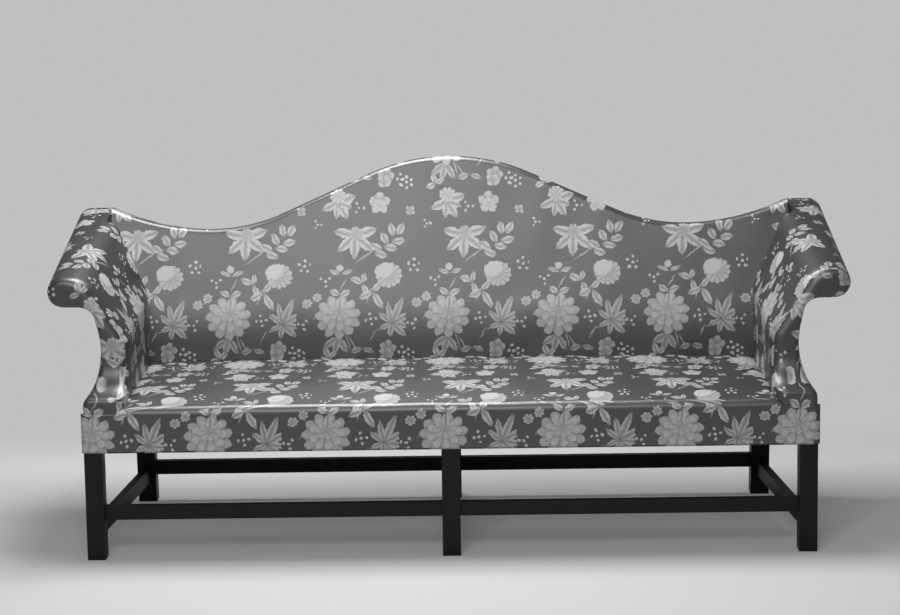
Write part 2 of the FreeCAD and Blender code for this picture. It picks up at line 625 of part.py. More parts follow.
def arm_frame(rear_leg):
    """Stump with its swept toe, ear block on the back post, top rail and lower rail."""
    core = arm_skin(WOOD_INSET)
    stump = largest(core.common(box(0, FAR, 0, STUMP_Y + STUMP_THICK, RAIL_TOP, FAR)))
    ear_zone = box(POST_OUTER, FAR, BACK_FRAME_Y, FRAME_REAR_Y, SCROLL_Z_FRONT - ARM_NECK_RADIUS, FAR)
    ear = largest(core.common(leaned(ear_zone)))
    start = scroll_axis(STUMP_Y)
    run = scroll_axis(FRAME_REAR_Y + LEG_SIDE) - start
    top_rail = Part.makeCylinder(ARM_SCROLL_RADIUS - WOOD_INSET - LAYER_GAP, run.Length, start, run)
    top_rail = top_rail.cut([box(0, 2 * FAR, -FAR, STUMP_Y + STUMP_THICK, 0, 2 * FAR),
                             leaned(box(0, 2 * FAR, BACK_FRAME_Y, 2 * FAR, -FAR, 2 * FAR))])
    x0 = ARM_INSIDE + WOOD_INSET + LAYER_GAP
    lower = box(x0, x0 + ARM_LOWER_RAIL_THICK, STUMP_Y + STUMP_THICK, REAR_LEG_Y + LEG_SIDE, SEAT_DECK,
                SEAT_DECK + ARM_LOWER_RAIL_HEIGHT)
    return {"arm_stump": stump, "ear_block": ear, "arm_top_rail": top_rail,
            "arm_lower_rail": largest(lower.cut(rear_leg))}


def webbing_and_canvas(posts):
    """Webs and canvas that carry the seat's stuffing, and the webs of the back."""
    webs = []
    reach = REAR_BAR_END - WEB_WIDTH / 2
    back_edge = BACK_FRAME_Y - WEB_THICK - LAYER_GAP
    tacked = RAIL_THICK / 4
    for x in strips(SEAT_WEBS_ACROSS, 2 * reach, WEB_WIDTH):
        webs.append(box(x, x + WEB_WIDTH, LEG_FRONT_Y + tacked, back_edge, RAIL_TOP, RAIL_TOP + WEB_THICK))
    depth = REAR_LEG_Y - LEG_FRONT_Y - RAIL_THICK
    for offset in strips(SEAT_WEBS_LENGTHWISE, depth, WEB_WIDTH):
        y = LEG_FRONT_Y + RAIL_THICK + depth / 2 + offset
        end = half_width(y + WEB_WIDTH) - tacked
        webs.append(box(-end, end, y, y + WEB_WIDTH, RAIL_TOP + WEB_THICK, RAIL_TOP + 2 * WEB_THICK))
    canvas = box(-REAR_BAR_END, REAR_BAR_END, LEG_FRONT_Y + tacked, back_edge, RAIL_TOP + 2 * WEB_THICK,
                 RAIL_TOP + 2 * WEB_THICK + CANVAS_THICK)
    back_webs = []
    outline = below_crest(CREST_SINK + CREST_RAIL_HEIGHT / 2, 0, FAR, SCROLL_X_FRONT)
    for x in strips(BACK_WEBS, 2 * REAR_BAR_END, WEB_WIDTH):
        web = box(x, x + WEB_WIDTH, BACK_FRAME_Y - WEB_THICK, BACK_FRAME_Y,
                  STAY_RAIL_BOTTOM + STAY_RAIL_HEIGHT / 4, FAR)
        back_webs.append(leaned(web.common(outline)))
    return {"seat_webbing": [largest(cut_all(web, posts)) for web in webs],
            "seat_canvas": [largest(cut_all(canvas, posts))],
            "back_webbing": back_webs}


def arm_upholstery(wood):
    """Padding and covers of the right-hand arm, split where the real covers are sewn."""
    outer = arm_skin(0)
    shell = outer.cut(arm_skin(COVER_THICK))
    seam_x = ARM_INSIDE + ARM_SEAM_IN
    seam_z = SCROLL_Z_FRONT - ARM_BREAK_DROP_FRONT
    seam_top = SCROLL_Z_FRONT - ARM_SCROLL_RADIUS / 2
    seam_points = [(seam_x, 0), (seam_x, seam_z), (seam_x + ARM_SEAM_LEAN, seam_top), (FAR, seam_top), (FAR, 0)]
    along_scroll = scroll_axis(FAR) - scroll_axis(ARM_FRONT)
    under_scroll = polygon_prism([(x, ARM_FRONT, z) for x, z in seam_points], tuple(along_scroll))
    face_y = ARM_FRONT + 2 * COVER_THICK
    deck = above_deck()
    in_front = box(0, FAR, 0, face_y, 0, FAR)
    facing = shell.common(in_front).common(deck)
    behind = shell.cut([in_front, behind_frame(0)])
    inside = behind.cut(under_scroll).common(deck)
    outside = behind.common(under_scroll).cut(box(0, POST_OUTER, 0, FAR, 0, SEAT_DECK))
    over_leg = [(half_width(0) + LAYER_GAP, 0, 0), (FAR, 0, 0), (FAR, face_y, 0),
                (half_width(face_y) + LAYER_GAP, face_y, 0)]
    toe = shell.common(polygon_prism(over_leg, (0, 0, SEAT_DECK)))
    outside = outside.fuse(toe).removeSplitter()
    padding = arm_skin(COVER_THICK + LAYER_GAP).cut(arm_skin(WOOD_INSET - LAYER_GAP)).common(deck)
    padding = padding.cut(under_scroll.common(box(0, FAR, STUMP_Y, 2 * FAR, 0, FAR)))
    padding = padding.cut(behind_frame(-BACK_FRAME_THICK))
    return {"arm_stuffing": largest(cut_all(padding, wood)),
            "inside_arm_cover": largest(cut_all(inside, wood)),
            "outside_arm_cover": largest(cut_all(outside, wood)),
            "arm_front_facing": largest(cut_all(facing, wood))}


def back_upholstery(arms, wood):
    """Stuffing, inside cover and the outside panel that closes the back."""
    frame_zone = leaned(box(-FAR, FAR, BACK_FRAME_Y - WEB_THICK - LAYER_GAP, FAR, -FAR, FAR))
    stuffing = back_skin(COVER_THICK + LAYER_GAP).cut(frame_zone)
    shell = back_skin(0).cut(back_skin(COVER_THICK)).cut([behind_frame(0)] + arms)
    deck = above_deck()
    panel_zone = behind_frame(LAYER_GAP)
    arm = arm_skin(0)
    rear_right_arm = arm.common(panel_zone)
    half = POST_OUTER + SIDE_LAYER
    low = box(-half, half, FRAME_REAR_Y + LAYER_GAP, FRAME_REAR_Y + REAR_LAYER, COVER_BOTTOM, RAIL_TOP)
    high = back_skin(0).common(panel_zone).common(box(-FAR, FAR, 0, FAR, RAIL_TOP, FAR))
    high = largest(high.cut([arm, mirrored(arm)]))
    panel = high.fuse([rear_right_arm, mirrored(rear_right_arm), low])
    return {"back_stuffing": [largest(stuffing.cut(arms).common(deck))],
            "inside_back_cover": [largest(cut_all(shell.common(deck), wood))],
            "outside_back_cover": [largest(panel.removeSplitter())]}


def seat_upholstery(arms, wood):
    """Edge roll, stuffing and the cover that runs over the front rail."""
    keep_out = arms + [back_skin(-LAYER_GAP)]
    deck = above_deck()
    top = seat_skin(0).cut(seat_skin(COVER_THICK)).common(deck).cut(keep_out)
    half = HALF_FRAME + SIDE_LAYER
    band = box(-half, half, 0, COVER_THICK, COVER_BOTTOM, SEAT_DECK)
    fold = box(-FRONT_BAR_END, FRONT_BAR_END, COVER_THICK, COVER_RETURN, COVER_BOTTOM, COVER_BOTTOM + COVER_THICK)
    cover = top.fuse([band, fold]).removeSplitter()
    roll_x = ARM_INSIDE - 2 * COVER_THICK
    roll_z = SEAT_DECK + EDGE_ROLL_RADIUS + LAYER_GAP
    roll = Part.makeCylinder(EDGE_ROLL_RADIUS, 2 * roll_x, FreeCAD.Vector(-roll_x, SEAT_EDGE_RADIUS, roll_z),
                             FreeCAD.Vector(1, 0, 0))
    end = roll_x + LAYER_GAP
    room = Part.makeCylinder(EDGE_ROLL_RADIUS + LAYER_GAP, 2 * end, FreeCAD.Vector(-end, SEAT_EDGE_RADIUS, roll_z),
                             FreeCAD.Vector(1, 0, 0))
    filling = seat_skin(COVER_THICK + LAYER_GAP).common(deck).cut(keep_out + [room])
    return {"seat_cover": [largest(cut_all(cover, wood))],
            "seat_stuffing": [largest(cut_all(filling, wood))],
            "front_edge_roll": [roll],
            "front_rail_wadding": [box(-HALF_FRAME, HALF_FRAME, COVER_THICK + LAYER_GAP, LEG_FRONT_Y - LAYER_GAP,
                                       RAIL_BOTTOM, RAIL_TOP)]}


def side_wadding():
    """Thin wadding over the right-hand side rail."""
    near = LAYER_GAP
    far = LAYER_GAP + WADDING_THICK
    y0 = LEG_FRONT_Y
    y1 = FRAME_REAR_Y - LAYER_GAP
    points = [(half_width(y0) + near, y0, RAIL_BOTTOM), (half_width(y0) + far, y0, RAIL_BOTTOM),
              (half_width(y1) + far, y1, RAIL_BOTTOM), (half_width(y1) + near, y1, RAIL_BOTTOM)]
    return polygon_prism(points, (0, 0, RAIL_HEIGHT))


def tack(x, y, z):
    """An upholstery tack driven upwards, its head below z."""
    low = FreeCAD.Vector(x, y, z - TACK_HEAD_THICK)
    head = Part.makeCylinder(TACK_HEAD_RADIUS, TACK_HEAD_THICK, low)
    shank = Part.makeCylinder(TACK_SHANK_RADIUS, TACK_SHANK_LENGTH, low)
    return head.fuse(shank).removeSplitter()


def tack_hole(piece):
    """The hole that the shank of a tack makes in the cloth under the frame."""
    bounds = piece.BoundBox
    foot = FreeCAD.Vector(bounds.Center.x, bounds.Center.y, bounds.ZMin)
    return Part.makeCylinder(TACK_SHANK_RADIUS, TACK_SHANK_LENGTH, foot)


def under_cover(legs):
    """The dust cover tacked under the seat frame, and its tacks."""
    z1 = COVER_BOTTOM - LAYER_GAP
    z0 = z1 - DUST_COVER_THICK
    y0 = LEG_FRONT_Y + DUST_COVER_INSET
    y1 = FRAME_REAR_Y - DUST_COVER_INSET
    corners = [(-half_width(y0) + DUST_COVER_INSET, y0, z0), (half_width(y0) - DUST_COVER_INSET, y0, z0),
               (half_width(y1) - DUST_COVER_INSET, y1, z0), (-half_width(y1) + DUST_COVER_INSET, y1, z0)]
    cover = polygon_prism(corners, (0, 0, DUST_COVER_THICK))
    around_legs = []
    for leg in legs:
        bounds = leg.common(box(-FAR, FAR, -FAR, FAR, z0, z1)).BoundBox
        gap = DUST_COVER_LEG_GAP
        around_legs.append(box(bounds.XMin - gap, bounds.XMax + gap, bounds.YMin - gap, bounds.YMax + gap,
                               z0 - gap, z1 + gap))
    tacks = []
    line_front = COVER_RETURN + LAYER_GAP + TACK_SHANK_RADIUS + COVER_THICK
    reach = REAR_BAR_END - LEG_SIDE
    count = int(2 * reach / TACK_PITCH / 2) * 2
    for x in strips(count, 2 * reach, 0):
        for y in (line_front, FRAME_REAR_Y - RAIL_THICK / 2):
            tacks.append(tack(x, y, z0))
    side_count = int((REAR_LEG_Y - LEG_FRONT_Y - LEG_SIDE) / TACK_PITCH)
    middle = (REAR_LEG_Y + LEG_FRONT_Y + LEG_SIDE) / 2
    for offset in strips(side_count, REAR_LEG_Y - LEG_FRONT_Y - LEG_SIDE, 0):
        y = middle + offset
        x = half_width(y) - RAIL_THICK / 2
        tacks += [tack(x, y, z0), tack(-x, y, z0)]
    return largest(cover.cut(around_legs + [tack_hole(piece) for piece in tacks]).removeSplitter()), tacks


def build():
    parts = seat_frame()
    parts.update(back_frame())
    rear_leg = parts["rear_leg_right"][0]
    for name, shape in arm_frame(rear_leg).items():
        both_sides(parts, name, shape)
    wood = [solid for solids in parts.values() for solid in solids]
    right_wood = [solid for solid in wood if solid.BoundBox.XMax > ARM_INSIDE]
    parts.update(webbing_and_canvas(wood))
    for name, shape in arm_upholstery(right_wood).items():
        both_sides(parts, name, shape)
    arm = arm_skin(-LAYER_GAP)
    arms = [arm, mirrored(arm)]
    parts.update(back_upholstery(arms, wood))
    parts.update(seat_upholstery(arms, wood))
    both_sides(parts, "side_rail_wadding", side_wadding())
    legs = [parts[name][0] for name in parts if "_leg_" in name]
    cover, tacks = under_cover(legs)
    for name in ("front_seat_rail", "rear_seat_rail", "side_seat_rail_left", "side_seat_rail_right"):
        parts[name] = [largest(cut_all(parts[name][0], tacks))]
    parts["dust_cover"] = [cover]
    parts["dust_cover_tacks"] = tacks
    return parts


def write(parts):
    """Centre the sofa over the origin, feet on Z = 0, and write a file for each piece."""
    os.makedirs("parts", exist_ok=True)
    whole = Part.makeCompound([solid for solids in parts.values() for solid in solids])
    bounds = whole.optimalBoundingBox(False)
    move = FreeCAD.Vector(-bounds.Center.x, -bounds.Center.y, -bounds.ZMin)
    for name, solids in parts.items():
        shape = Part.makeCompound(solids) if len(solids) > 1 else solids[0]
        shape.translate(move)
        shape.exportStep(os.path.join("parts", name + ".step"))
        print(name, len(solids), round(shape.Volume), shape.isValid())
    print("overall", bounds.XLength, bounds.YLength, bounds.ZLength)


write(build())
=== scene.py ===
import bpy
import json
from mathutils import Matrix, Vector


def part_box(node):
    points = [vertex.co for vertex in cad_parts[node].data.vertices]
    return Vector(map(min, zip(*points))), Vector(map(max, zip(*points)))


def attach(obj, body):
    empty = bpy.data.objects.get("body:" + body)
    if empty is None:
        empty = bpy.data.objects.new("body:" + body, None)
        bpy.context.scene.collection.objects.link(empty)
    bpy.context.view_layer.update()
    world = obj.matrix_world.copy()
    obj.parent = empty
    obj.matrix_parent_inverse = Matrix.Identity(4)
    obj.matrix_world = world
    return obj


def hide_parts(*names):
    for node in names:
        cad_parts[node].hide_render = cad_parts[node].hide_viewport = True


bl_info = {
    "name": "Camelback sofa",
    "version": (1, 0, 0),
    "blender": (4, 5, 0),
    "location": "View3D > Sidebar > Sofa",
    "description": "Dresses the sofa's frame with flowered satin, polished mahogany and its inner cloths",
    "category": "Object",
}

import json
import math

import bmesh
import bpy
from mathutils import Matrix, Vector, noise
from mathutils.kdtree import KDTree

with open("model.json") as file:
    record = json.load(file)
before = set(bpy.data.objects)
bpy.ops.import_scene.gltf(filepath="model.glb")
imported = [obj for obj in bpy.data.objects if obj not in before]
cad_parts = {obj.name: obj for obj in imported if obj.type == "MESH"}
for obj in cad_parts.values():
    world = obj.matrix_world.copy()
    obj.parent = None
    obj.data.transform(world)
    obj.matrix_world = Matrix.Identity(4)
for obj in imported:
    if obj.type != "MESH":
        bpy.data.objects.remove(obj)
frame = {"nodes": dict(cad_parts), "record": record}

# The sofa's forms, in metres. Depth is measured back from the front of the seat's cover.
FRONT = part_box("seat_cover")[0][1]
BASE_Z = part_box("seat_cover")[0][2]
HALF_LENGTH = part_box("seat_cover")[1][0]
FRAME_REAR = 0.5981
RAIL_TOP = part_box("front_seat_rail")[1][2]
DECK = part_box("seat_stuffing")[0][2]
SIDE_SLOPE = 0.0961
COVER = 0.0018
LEAN = math.radians(9)

SEAT_EDGE = 0.407
SEAT_EDGE_RADIUS = 0.022
SEAT_CROWN = 0.030
SEAT_REAR = 0.418
SEAT_END_DROP = 0.014
SEAT_END_RADIUS = 0.060
SEAT_END = 0.868
SEAT_CORNER = 0.010
TURN_UNDER = 0.024
TURN_UNDER_STEPS = 5

BACK_END = 0.948
BACK_WIDENS = 0.600
BACK_WIDENING = 0.15
BACK_REAR = FRAME_REAR + COVER
# the dressed back stops here, so that the outside back covers it
INNER_REAR = BACK_REAR - 0.0035
BACK_PAD_LOW = 0.145
BACK_PAD_TOP = 0.080
BACK_BULGE = 0.009
BACK_TUCK = 0.016
BACK_TUCK_HEIGHT = 0.15
CREST_TOP = 0.971
CREST_DROP = 0.196
CREST_LOW = 0.660
CREST_SLOPE = math.radians(24)
HUMP_RADIUS = 0.550
EAR_RADIUS = 0.680

ARM_INSIDE = 0.838
ARM_FRONT = 0.080
ARM_SWEEP = 0.080
ARM_BASE_TOP = 0.430
SCROLL_RUN = 0.590
SCROLL_RADIUS = 0.039
NECK_RADIUS = 0.042
WAIST_DROP = 0.146
ARM_EDGE = 0.030
SCROLL_EDGE = 0.014
OUTSIDE_EDGE = 0.008
TOE_LAP = 0.012

# Where the floor meets the backdrop
WALL_Y = 0.62

# The cloth's woven repeat, across and up
REPEAT = 0.304
REPEAT_UP = 0.480
# Where the middle of a peony lies on the seat's and arms' cloth, and on the back's
RAIL_PEONY_X = -0.0165
RAIL_PEONY_Z = 0.331
BACK_PEONY_X = -0.008
BACK_PEONY_Z = 0.530
ARM_PEONY_Y = -0.05
ARM_PEONY_RUN = 0.60
# Threads per metre across as drawn, and how many of their floats end in a metre
THREADS_SHOWN = 620
FLOAT_ENDS = 150
OUTLINE_STEP = 0.009


class SofaSizes(bpy.types.PropertyGroup):
    """Sizes of the soft parts' finish."""
    voxel: bpy.props.FloatProperty(
        name="Arm cell", description="Size of the cells in which the arm's cover is rebuilt",
        default=0.005, unit="LENGTH")
    crest_round: bpy.props.FloatProperty(
        name="Crest rounding", description="Radius of the back's front edge along the crest",
        default=0.018, unit="LENGTH")
    pull: bpy.props.FloatProperty(
        name="Pull", description="How far the stuffing stands uneven under the cloth",
        default=0.0016, unit="LENGTH")


class SofaColours(bpy.types.PropertyGroup):
    """Colours of the cloth and the wood."""
    ground: bpy.props.StringProperty(
        name="Satin ground", description="Colour of the satin between the flowers", default="#222224")
    flower: bpy.props.StringProperty(
        name="Flowers", description="Colour of the woven flowers", default="#a6a6a5")
    wood: bpy.props.StringProperty(
        name="Mahogany", description="Colour of the legs and stretchers", default="#100d0b")
    floor: bpy.props.StringProperty(
        name="Floor", description="Colour of the floor around the sofa", default="#c2c2c2")
    wall: bpy.props.StringProperty(
        name="Wall", description="Colour of the backdrop", default="#c0c0c0")


def hex_colour(text):
    """Turns an sRGB hex value to the linear colour that a shader takes."""
    parts = [int(text[i:i + 2], 16) / 255 for i in (1, 3, 5)]
    return tuple(c / 12.92 if c <= 0.04045 else ((c + 0.055) / 1.055) ** 2.4 for c in parts) + (1.0,)


# Node helper

def add(tree, kind, *values, out=0, named=None, **settings):
    """Adds one node, sets or links its inputs, and gives back one of its outputs."""
    made = tree.nodes.new("ShaderNode" + kind)
    for name, value in settings.items():
        setattr(made, name, value)
    pairs = list(zip(made.inputs, values))
    pairs += [(made.inputs[key], value) for key, value in (named or {}).items()]
    for socket, value in pairs:
        if isinstance(value, bpy.types.NodeSocket):
            tree.links.new(value, socket)
        elif value is not None:
            socket.default_value = value
    return made.outputs[out] if made.outputs else made


def new_material(name):
    material = bpy.data.materials.new(name)
    material.use_nodes = True
    material.node_tree.nodes.clear()
    return material, material.node_tree


def finish_material(tree, surface):
    add(tree, "OutputMaterial", surface)


# Woven flowers: each motif is worked out on the cloth, in parts of the repeat's width

def spray(tree, cloth, centre):
    """Coordinates about the middle of a group of motifs, the same in every repeat."""
    away = add(tree, "VectorMath", cloth, (centre[0] * REPEAT, centre[1] * REPEAT, 0), operation="SUBTRACT")
    half = (REPEAT / 2, REPEAT_UP / 2, 1)
    folded = add(tree, "VectorMath", away, half, tuple(-h for h in half), operation="WRAP")
    return add(tree, "VectorMath", folded, operation="SCALE", named={3: 1 / REPEAT})


def local(tree, group, centre, turn, size):
    """Coordinates about one motif of a group, turned and scaled to its size."""
    return add(tree, "Mapping", group, (*centre, 0), (0, 0, math.radians(turn)), (*size, 1),
               vector_type="TEXTURE")


def within(tree, value, low, high):
    """0 below low and 1 above high, with a soft step between."""
    return add(tree, "MapRange", value, low, high, 0.0, 1.0, interpolation_type="SMOOTHSTEP")


def over(tree, below, mask, tone):
    return add(tree, "Mix", named={0: mask, 2: below, 3: tone}, data_type="FLOAT")


def leaf(tree, group, below, centre, turn, length, width, light=0.7):
    """A pointed leaf with its rib left dark."""
    parts = add(tree, "SeparateXYZ", local(tree, group, centre, turn, (length, width))).node.outputs
    side = add(tree, "Math", parts[1], operation="ABSOLUTE")
    edge = add(tree, "Math", parts[0], parts[0], side, operation="MULTIPLY_ADD")
    rib = add(tree, "MapRange", side, 0.05, 0.55, light * 0.45, light * 1.15)
    return over(tree, below, within(tree, edge, 1.0, 0.84), rib)


def fan(tree, group, below, centre, blades, light=0.7):
    """Leaves that spread from one point: each is a turn, a length and a width."""
    for turn, length, width in blades:
        a = math.radians(turn)
        middle = (centre[0] + length * math.cos(a), centre[1] + length * math.sin(a))
        below = leaf(tree, group, below, middle, turn, length, width, light)
    return below


def flower(tree, group, below, centre, turn, size, petals, depth, light=1.0, base=0.35):
    """An open flower seen from above: petals dark at their folds and towards the eye."""
    at = local(tree, group, centre, turn, size)
    reach = add(tree, "VectorMath", at, operation="LENGTH", out=1)
    parts = add(tree, "SeparateXYZ", at).node.outputs
    angle = add(tree, "Math", parts[1], parts[0], operation="ARCTAN2")
    wave = add(tree, "Math", angle, petals / 2, operation="MULTIPLY")
    wave = add(tree, "Math", add(tree, "Math", wave, operation="COSINE"), operation="ABSOLUTE")
    rim = add(tree, "Math", wave, depth, 1 - depth, operation="MULTIPLY_ADD")
    edge = add(tree, "Math", rim, reach, operation="SUBTRACT")
    fold = add(tree, "MapRange", wave, 0.0, 0.6, 0.5, 1.0)
    inner = add(tree, "MapRange", reach, 0.1, 0.85, light * base, light)
    tone = add(tree, "Math", fold, inner, operation="MULTIPLY")
    return over(tree, below, within(tree, edge, 0.0, 0.06), tone)


def blob(tree, group, below, centre, turn, size, light):
    """A plain round form, such as a bud or the dome of a rose."""
    reach = add(tree, "VectorMath", local(tree, group, centre, turn, size), operation="LENGTH", out=1)
    return over(tree, below, within(tree, reach, 1.0, 0.88), light)


def blossoms(tree, group, below, centre, turn, radius, count, size):
    """Tiny blossoms set round a ring, with one more in the middle."""
    at = local(tree, group, centre, turn, (1, 1))
    reach = add(tree, "VectorMath", at, operation="LENGTH", out=1)
    parts = add(tree, "SeparateXYZ", at).node.outputs
    part = math.pi / count
    angle = add(tree, "Math", parts[1], parts[0], operation="ARCTAN2")
    angle = add(tree, "Math", angle, part, -part, operation="WRAP")
    across = add(tree, "Math", add(tree, "Math", angle, operation="SINE"), reach, operation="MULTIPLY")
    out = add(tree, "Math", add(tree, "Math", angle, operation="COSINE"), reach, operation="MULTIPLY")
    out = add(tree, "Math", out, radius, operation="SUBTRACT")
    gap = add(tree, "VectorMath", add(tree, "CombineXYZ", across, out, 0.0), operation="LENGTH", out=1)
    gap = add(tree, "Math", gap, reach, operation="MINIMUM")
    return over(tree, below, within(tree, gap, size, size * 0.75), 0.95)


def woven_flowers(tree, cloth):
    """The whole repeat: a peony, a palm spray and smaller flowers, buds and leaves above them."""
    low = spray(tree, cloth, (0.12, 0.0))
    middle = spray(tree, cloth, (0.25, 0.45))
    high = spray(tree, cloth, (0.25, 0.95))
    tone = 0.0
    # stems, drawn as very thin leaves
    for x, y, turn, length in ((-0.03, -0.24, 285, 0.10), (0.02, -0.27, 300, 0.09), (0.20, -0.18, 60, 0.07),
                               (0.28, -0.13, 15, 0.07), (-0.30, 0.02, 50, 0.09), (0.16, 0.16, 75, 0.07)):
        tone = leaf(tree, low, tone, (x, y), turn, length, 0.006)
    for x, y, turn, length in ((0.02, 0.10, 35, 0.17), (0.06, -0.22, 40, 0.10), (-0.20, -0.17, 60, 0.08)):
        tone = leaf(tree, middle, tone, (x, y), turn, length, 0.007)
    # low group: the peony with its leaves, and the palm spray
    tone = fan(tree, low, tone, (-0.12, -0.20), (
        (215, 0.085, 0.035), (255, 0.080, 0.034), (300, 0.085, 0.034)), 0.6)
    tone = fan(tree, low, tone, (0.10, -0.30), ((200, 0.060, 0.030), (340, 0.060, 0.026)), 0.55)
    tone = fan(tree, low, tone, (0.37, -0.08), ((28, 0.120, 0.034), (66, 0.135, 0.036), (100, 0.105, 0.030),
                                              (140, 0.080, 0.028), (205, 0.065, 0.026), (262, 0.065, 0.028),
                                              (318, 0.090, 0.034), (352, 0.105, 0.030)))
    tone = flower(tree, low, tone, (-0.12, -0.015), 12, (0.215, 0.205), 11, 0.20, 0.74, 0.55)
    tone = flower(tree, low, tone, (-0.115, 0.01), 40, (0.160, 0.145), 9, 0.22, 0.92, 0.5)
    tone = flower(tree, low, tone, (-0.11, 0.03), 5, (0.095, 0.080), 8, 0.25, 0.88, 0.75)
    tone = flower(tree, low, tone, (0.33, -0.31), 80, (0.085, 0.080), 5, 0.28, 0.75, 0.5)
    tone = flower(tree, low, tone, (-0.40, 0.11), 10, (0.050, 0.046), 7, 0.25, 0.85, 0.6)
    tone = flower(tree, low, tone, (-0.31, 0.165), 30, (0.046, 0.044), 7, 0.25, 0.9, 0.6)
    tone = blossoms(tree, low, tone, (0.18, -0.04), 10, 0.045, 4, 0.015)
    tone = blossoms(tree, low, tone, (-0.44, -0.08), 50, 0.045, 3, 0.014)
    tone = blossoms(tree, low, tone, (0.49, -0.34), 0, 0.055, 6, 0.015)
    # middle group: three-leaf sprigs, the cup rose with its leaves, and blossoms
    tone = fan(tree, middle, tone, (-0.23, -0.27), (
        (150, 0.055, 0.030), (268, 0.070, 0.030), (25, 0.055, 0.030)), 0.85)
    tone = fan(tree, middle, tone, (-0.02, -0.16), (
        (155, 0.065, 0.032), (290, 0.070, 0.030), (80, 0.050, 0.026)), 0.85)
    tone = fan(tree, middle, tone, (0.07, -0.24), (
        (205, 0.070, 0.036), (300, 0.095, 0.036), (50, 0.060, 0.028)), 0.9)
    tone = fan(tree, middle, tone, (-0.22, -0.08), ((160, 0.060, 0.020), (20, 0.060, 0.020)), 0.8)
    tone = blob(tree, middle, tone, (-0.23, -0.02), 0, (0.034, 0.034), 0.9)
    tone = flower(tree, middle, tone, (0.22, -0.09), 20, (0.125, 0.118), 13, 0.12, 0.85, 0.75)
    tone = blob(tree, middle, tone, (0.175, -0.045), 20, (0.092, 0.072), 1.0)
    tone = blossoms(tree, middle, tone, (0.45, 0.0), 15, 0.052, 5, 0.016)
    tone = blossoms(tree, middle, tone, (-0.36, -0.14), 35, 0.045, 3, 0.014)
    # middle group, above: the lily and the oak branch
    lily = ((18, 0.110, 0.050), (165, 0.100, 0.048), (222, 0.110, 0.046), (268, 0.110, 0.048),
            (322, 0.115, 0.048))
    tone = fan(tree, middle, tone, (-0.09, 0.27), lily, 0.85)
    tone = flower(tree, middle, tone, (-0.08, 0.29), 0, (0.065, 0.070), 9, 0.20, 0.75, 0.8)
    for x, y, turn in ((0.10, 0.17, 150), (0.15, 0.10, 340), (0.18, 0.25, 120), (0.24, 0.16, 350),
                       (0.25, 0.33, 100), (0.31, 0.22, 10), (0.33, 0.33, 60)):
        tone = leaf(tree, middle, tone, (x, y), turn, 0.066, 0.036, 0.8)
    # high group: the strawberry flower with its leaves, the pomegranate, and small bells
    tone = fan(tree, high, tone, (-0.24, 0.08), (
        (205, 0.085, 0.042), (262, 0.080, 0.034), (300, 0.090, 0.044), (20, 0.090, 0.048),
        (340, 0.070, 0.036)), 0.8)
    tone = flower(tree, high, tone, (-0.24, 0.14), 30, (0.080, 0.072), 9, 0.16, 0.9, 0.85)
    tone = flower(tree, high, tone, (0.14, 0.07), 90, (0.105, 0.100), 5, 0.26, 0.8, 0.6)
    tone = flower(tree, high, tone, (0.14, 0.05), 90, (0.060, 0.060), 9, 0.18, 0.95, 0.8)
    tone = flower(tree, high, tone, (0.18, 0.27), 50, (0.062, 0.066), 4, 0.30, 0.85, 0.5)
    tone = flower(tree, high, tone, (0.42, 0.0), 50, (0.045, 0.050), 4, 0.30, 0.7, 0.6)
    tone = fan(tree, high, tone, (-0.34, 0.24), (
        (200, 0.050, 0.028), (110, 0.055, 0.030), (40, 0.050, 0.026)), 0.8)
    tone = blossoms(tree, high, tone, (0.39, 0.26), 30, 0.050, 6, 0.015)
    tone = blossoms(tree, high, tone, (-0.05, 0.03), 0, 0.045, 3, 0.013)
    tone = blossoms(tree, high, tone, (-0.43, -0.12), 0, 0.035, 3, 0.012)
    return tone


def flowered_satin():
    """Silk and wool damask: a shiny satin ground, with the flowers woven much paler."""
    colours = bpy.context.scene.sofa_colours
    material, tree = new_material("flowered satin damask")
    cloth = add(tree, "TexCoord", out=2)
    # the loom steps from thread to thread, so outlines are ragged by about two millimetres
    ragged = add(tree, "TexNoise", cloth, None, 95.0, 2.0, 0.5, out=1)
    ragged = add(tree, "VectorMath", ragged, (0.5, 0.5, 0.5), operation="SUBTRACT")
    drawn = add(tree, "VectorMath", ragged, (OUTLINE_STEP, OUTLINE_STEP, 0.0), cloth,
                operation="MULTIPLY_ADD")
    tone = woven_flowers(tree, drawn)
    # threads lie 0.4 mm apart and are drawn 1.6 mm apart, the finest that shows
    thread = add(tree, "VectorMath", cloth, (THREADS_SHOWN, FLOAT_ENDS, 1), operation="MULTIPLY")
    weave = add(tree, "TexNoise", thread, None, 1.0, 2.0, 0.6)
    # the dye is uneven over a hand's breadth
    patch = add(tree, "TexNoise", cloth, None, 7.0, 3.0, 0.6)
    worn = add(tree, "MapRange", patch, 0.3, 0.7, 0.86, 1.12)
    ground = add(tree, "VectorMath", hex_colour(colours.ground)[:3], operation="SCALE", named={3: worn})
    stipple = add(tree, "TexNoise", cloth, None, 420.0, 1.0, 0.5)
    fleck = add(tree, "MapRange", stipple, 0.35, 0.65, 0.72, 1.15)
    petal = add(tree, "VectorMath", hex_colour(colours.flower)[:3], operation="SCALE", named={3: fleck})
    colour = add(tree, "Mix", named={0: tone, 6: ground, 7: petal}, data_type="RGBA", out=2)
    dull = add(tree, "MapRange", weave, 0.3, 0.7, 0.38, 0.46)
    relief = add(tree, "Bump", named={"Strength": 0.25, "Distance": 0.0006, "Height": weave})
    surface = add(tree, "BsdfPrincipled", named={
        "Base Color": colour, "Roughness": dull, "Normal": relief, "Specular IOR Level": 1.0})
    finish_material(tree, surface)
    return material


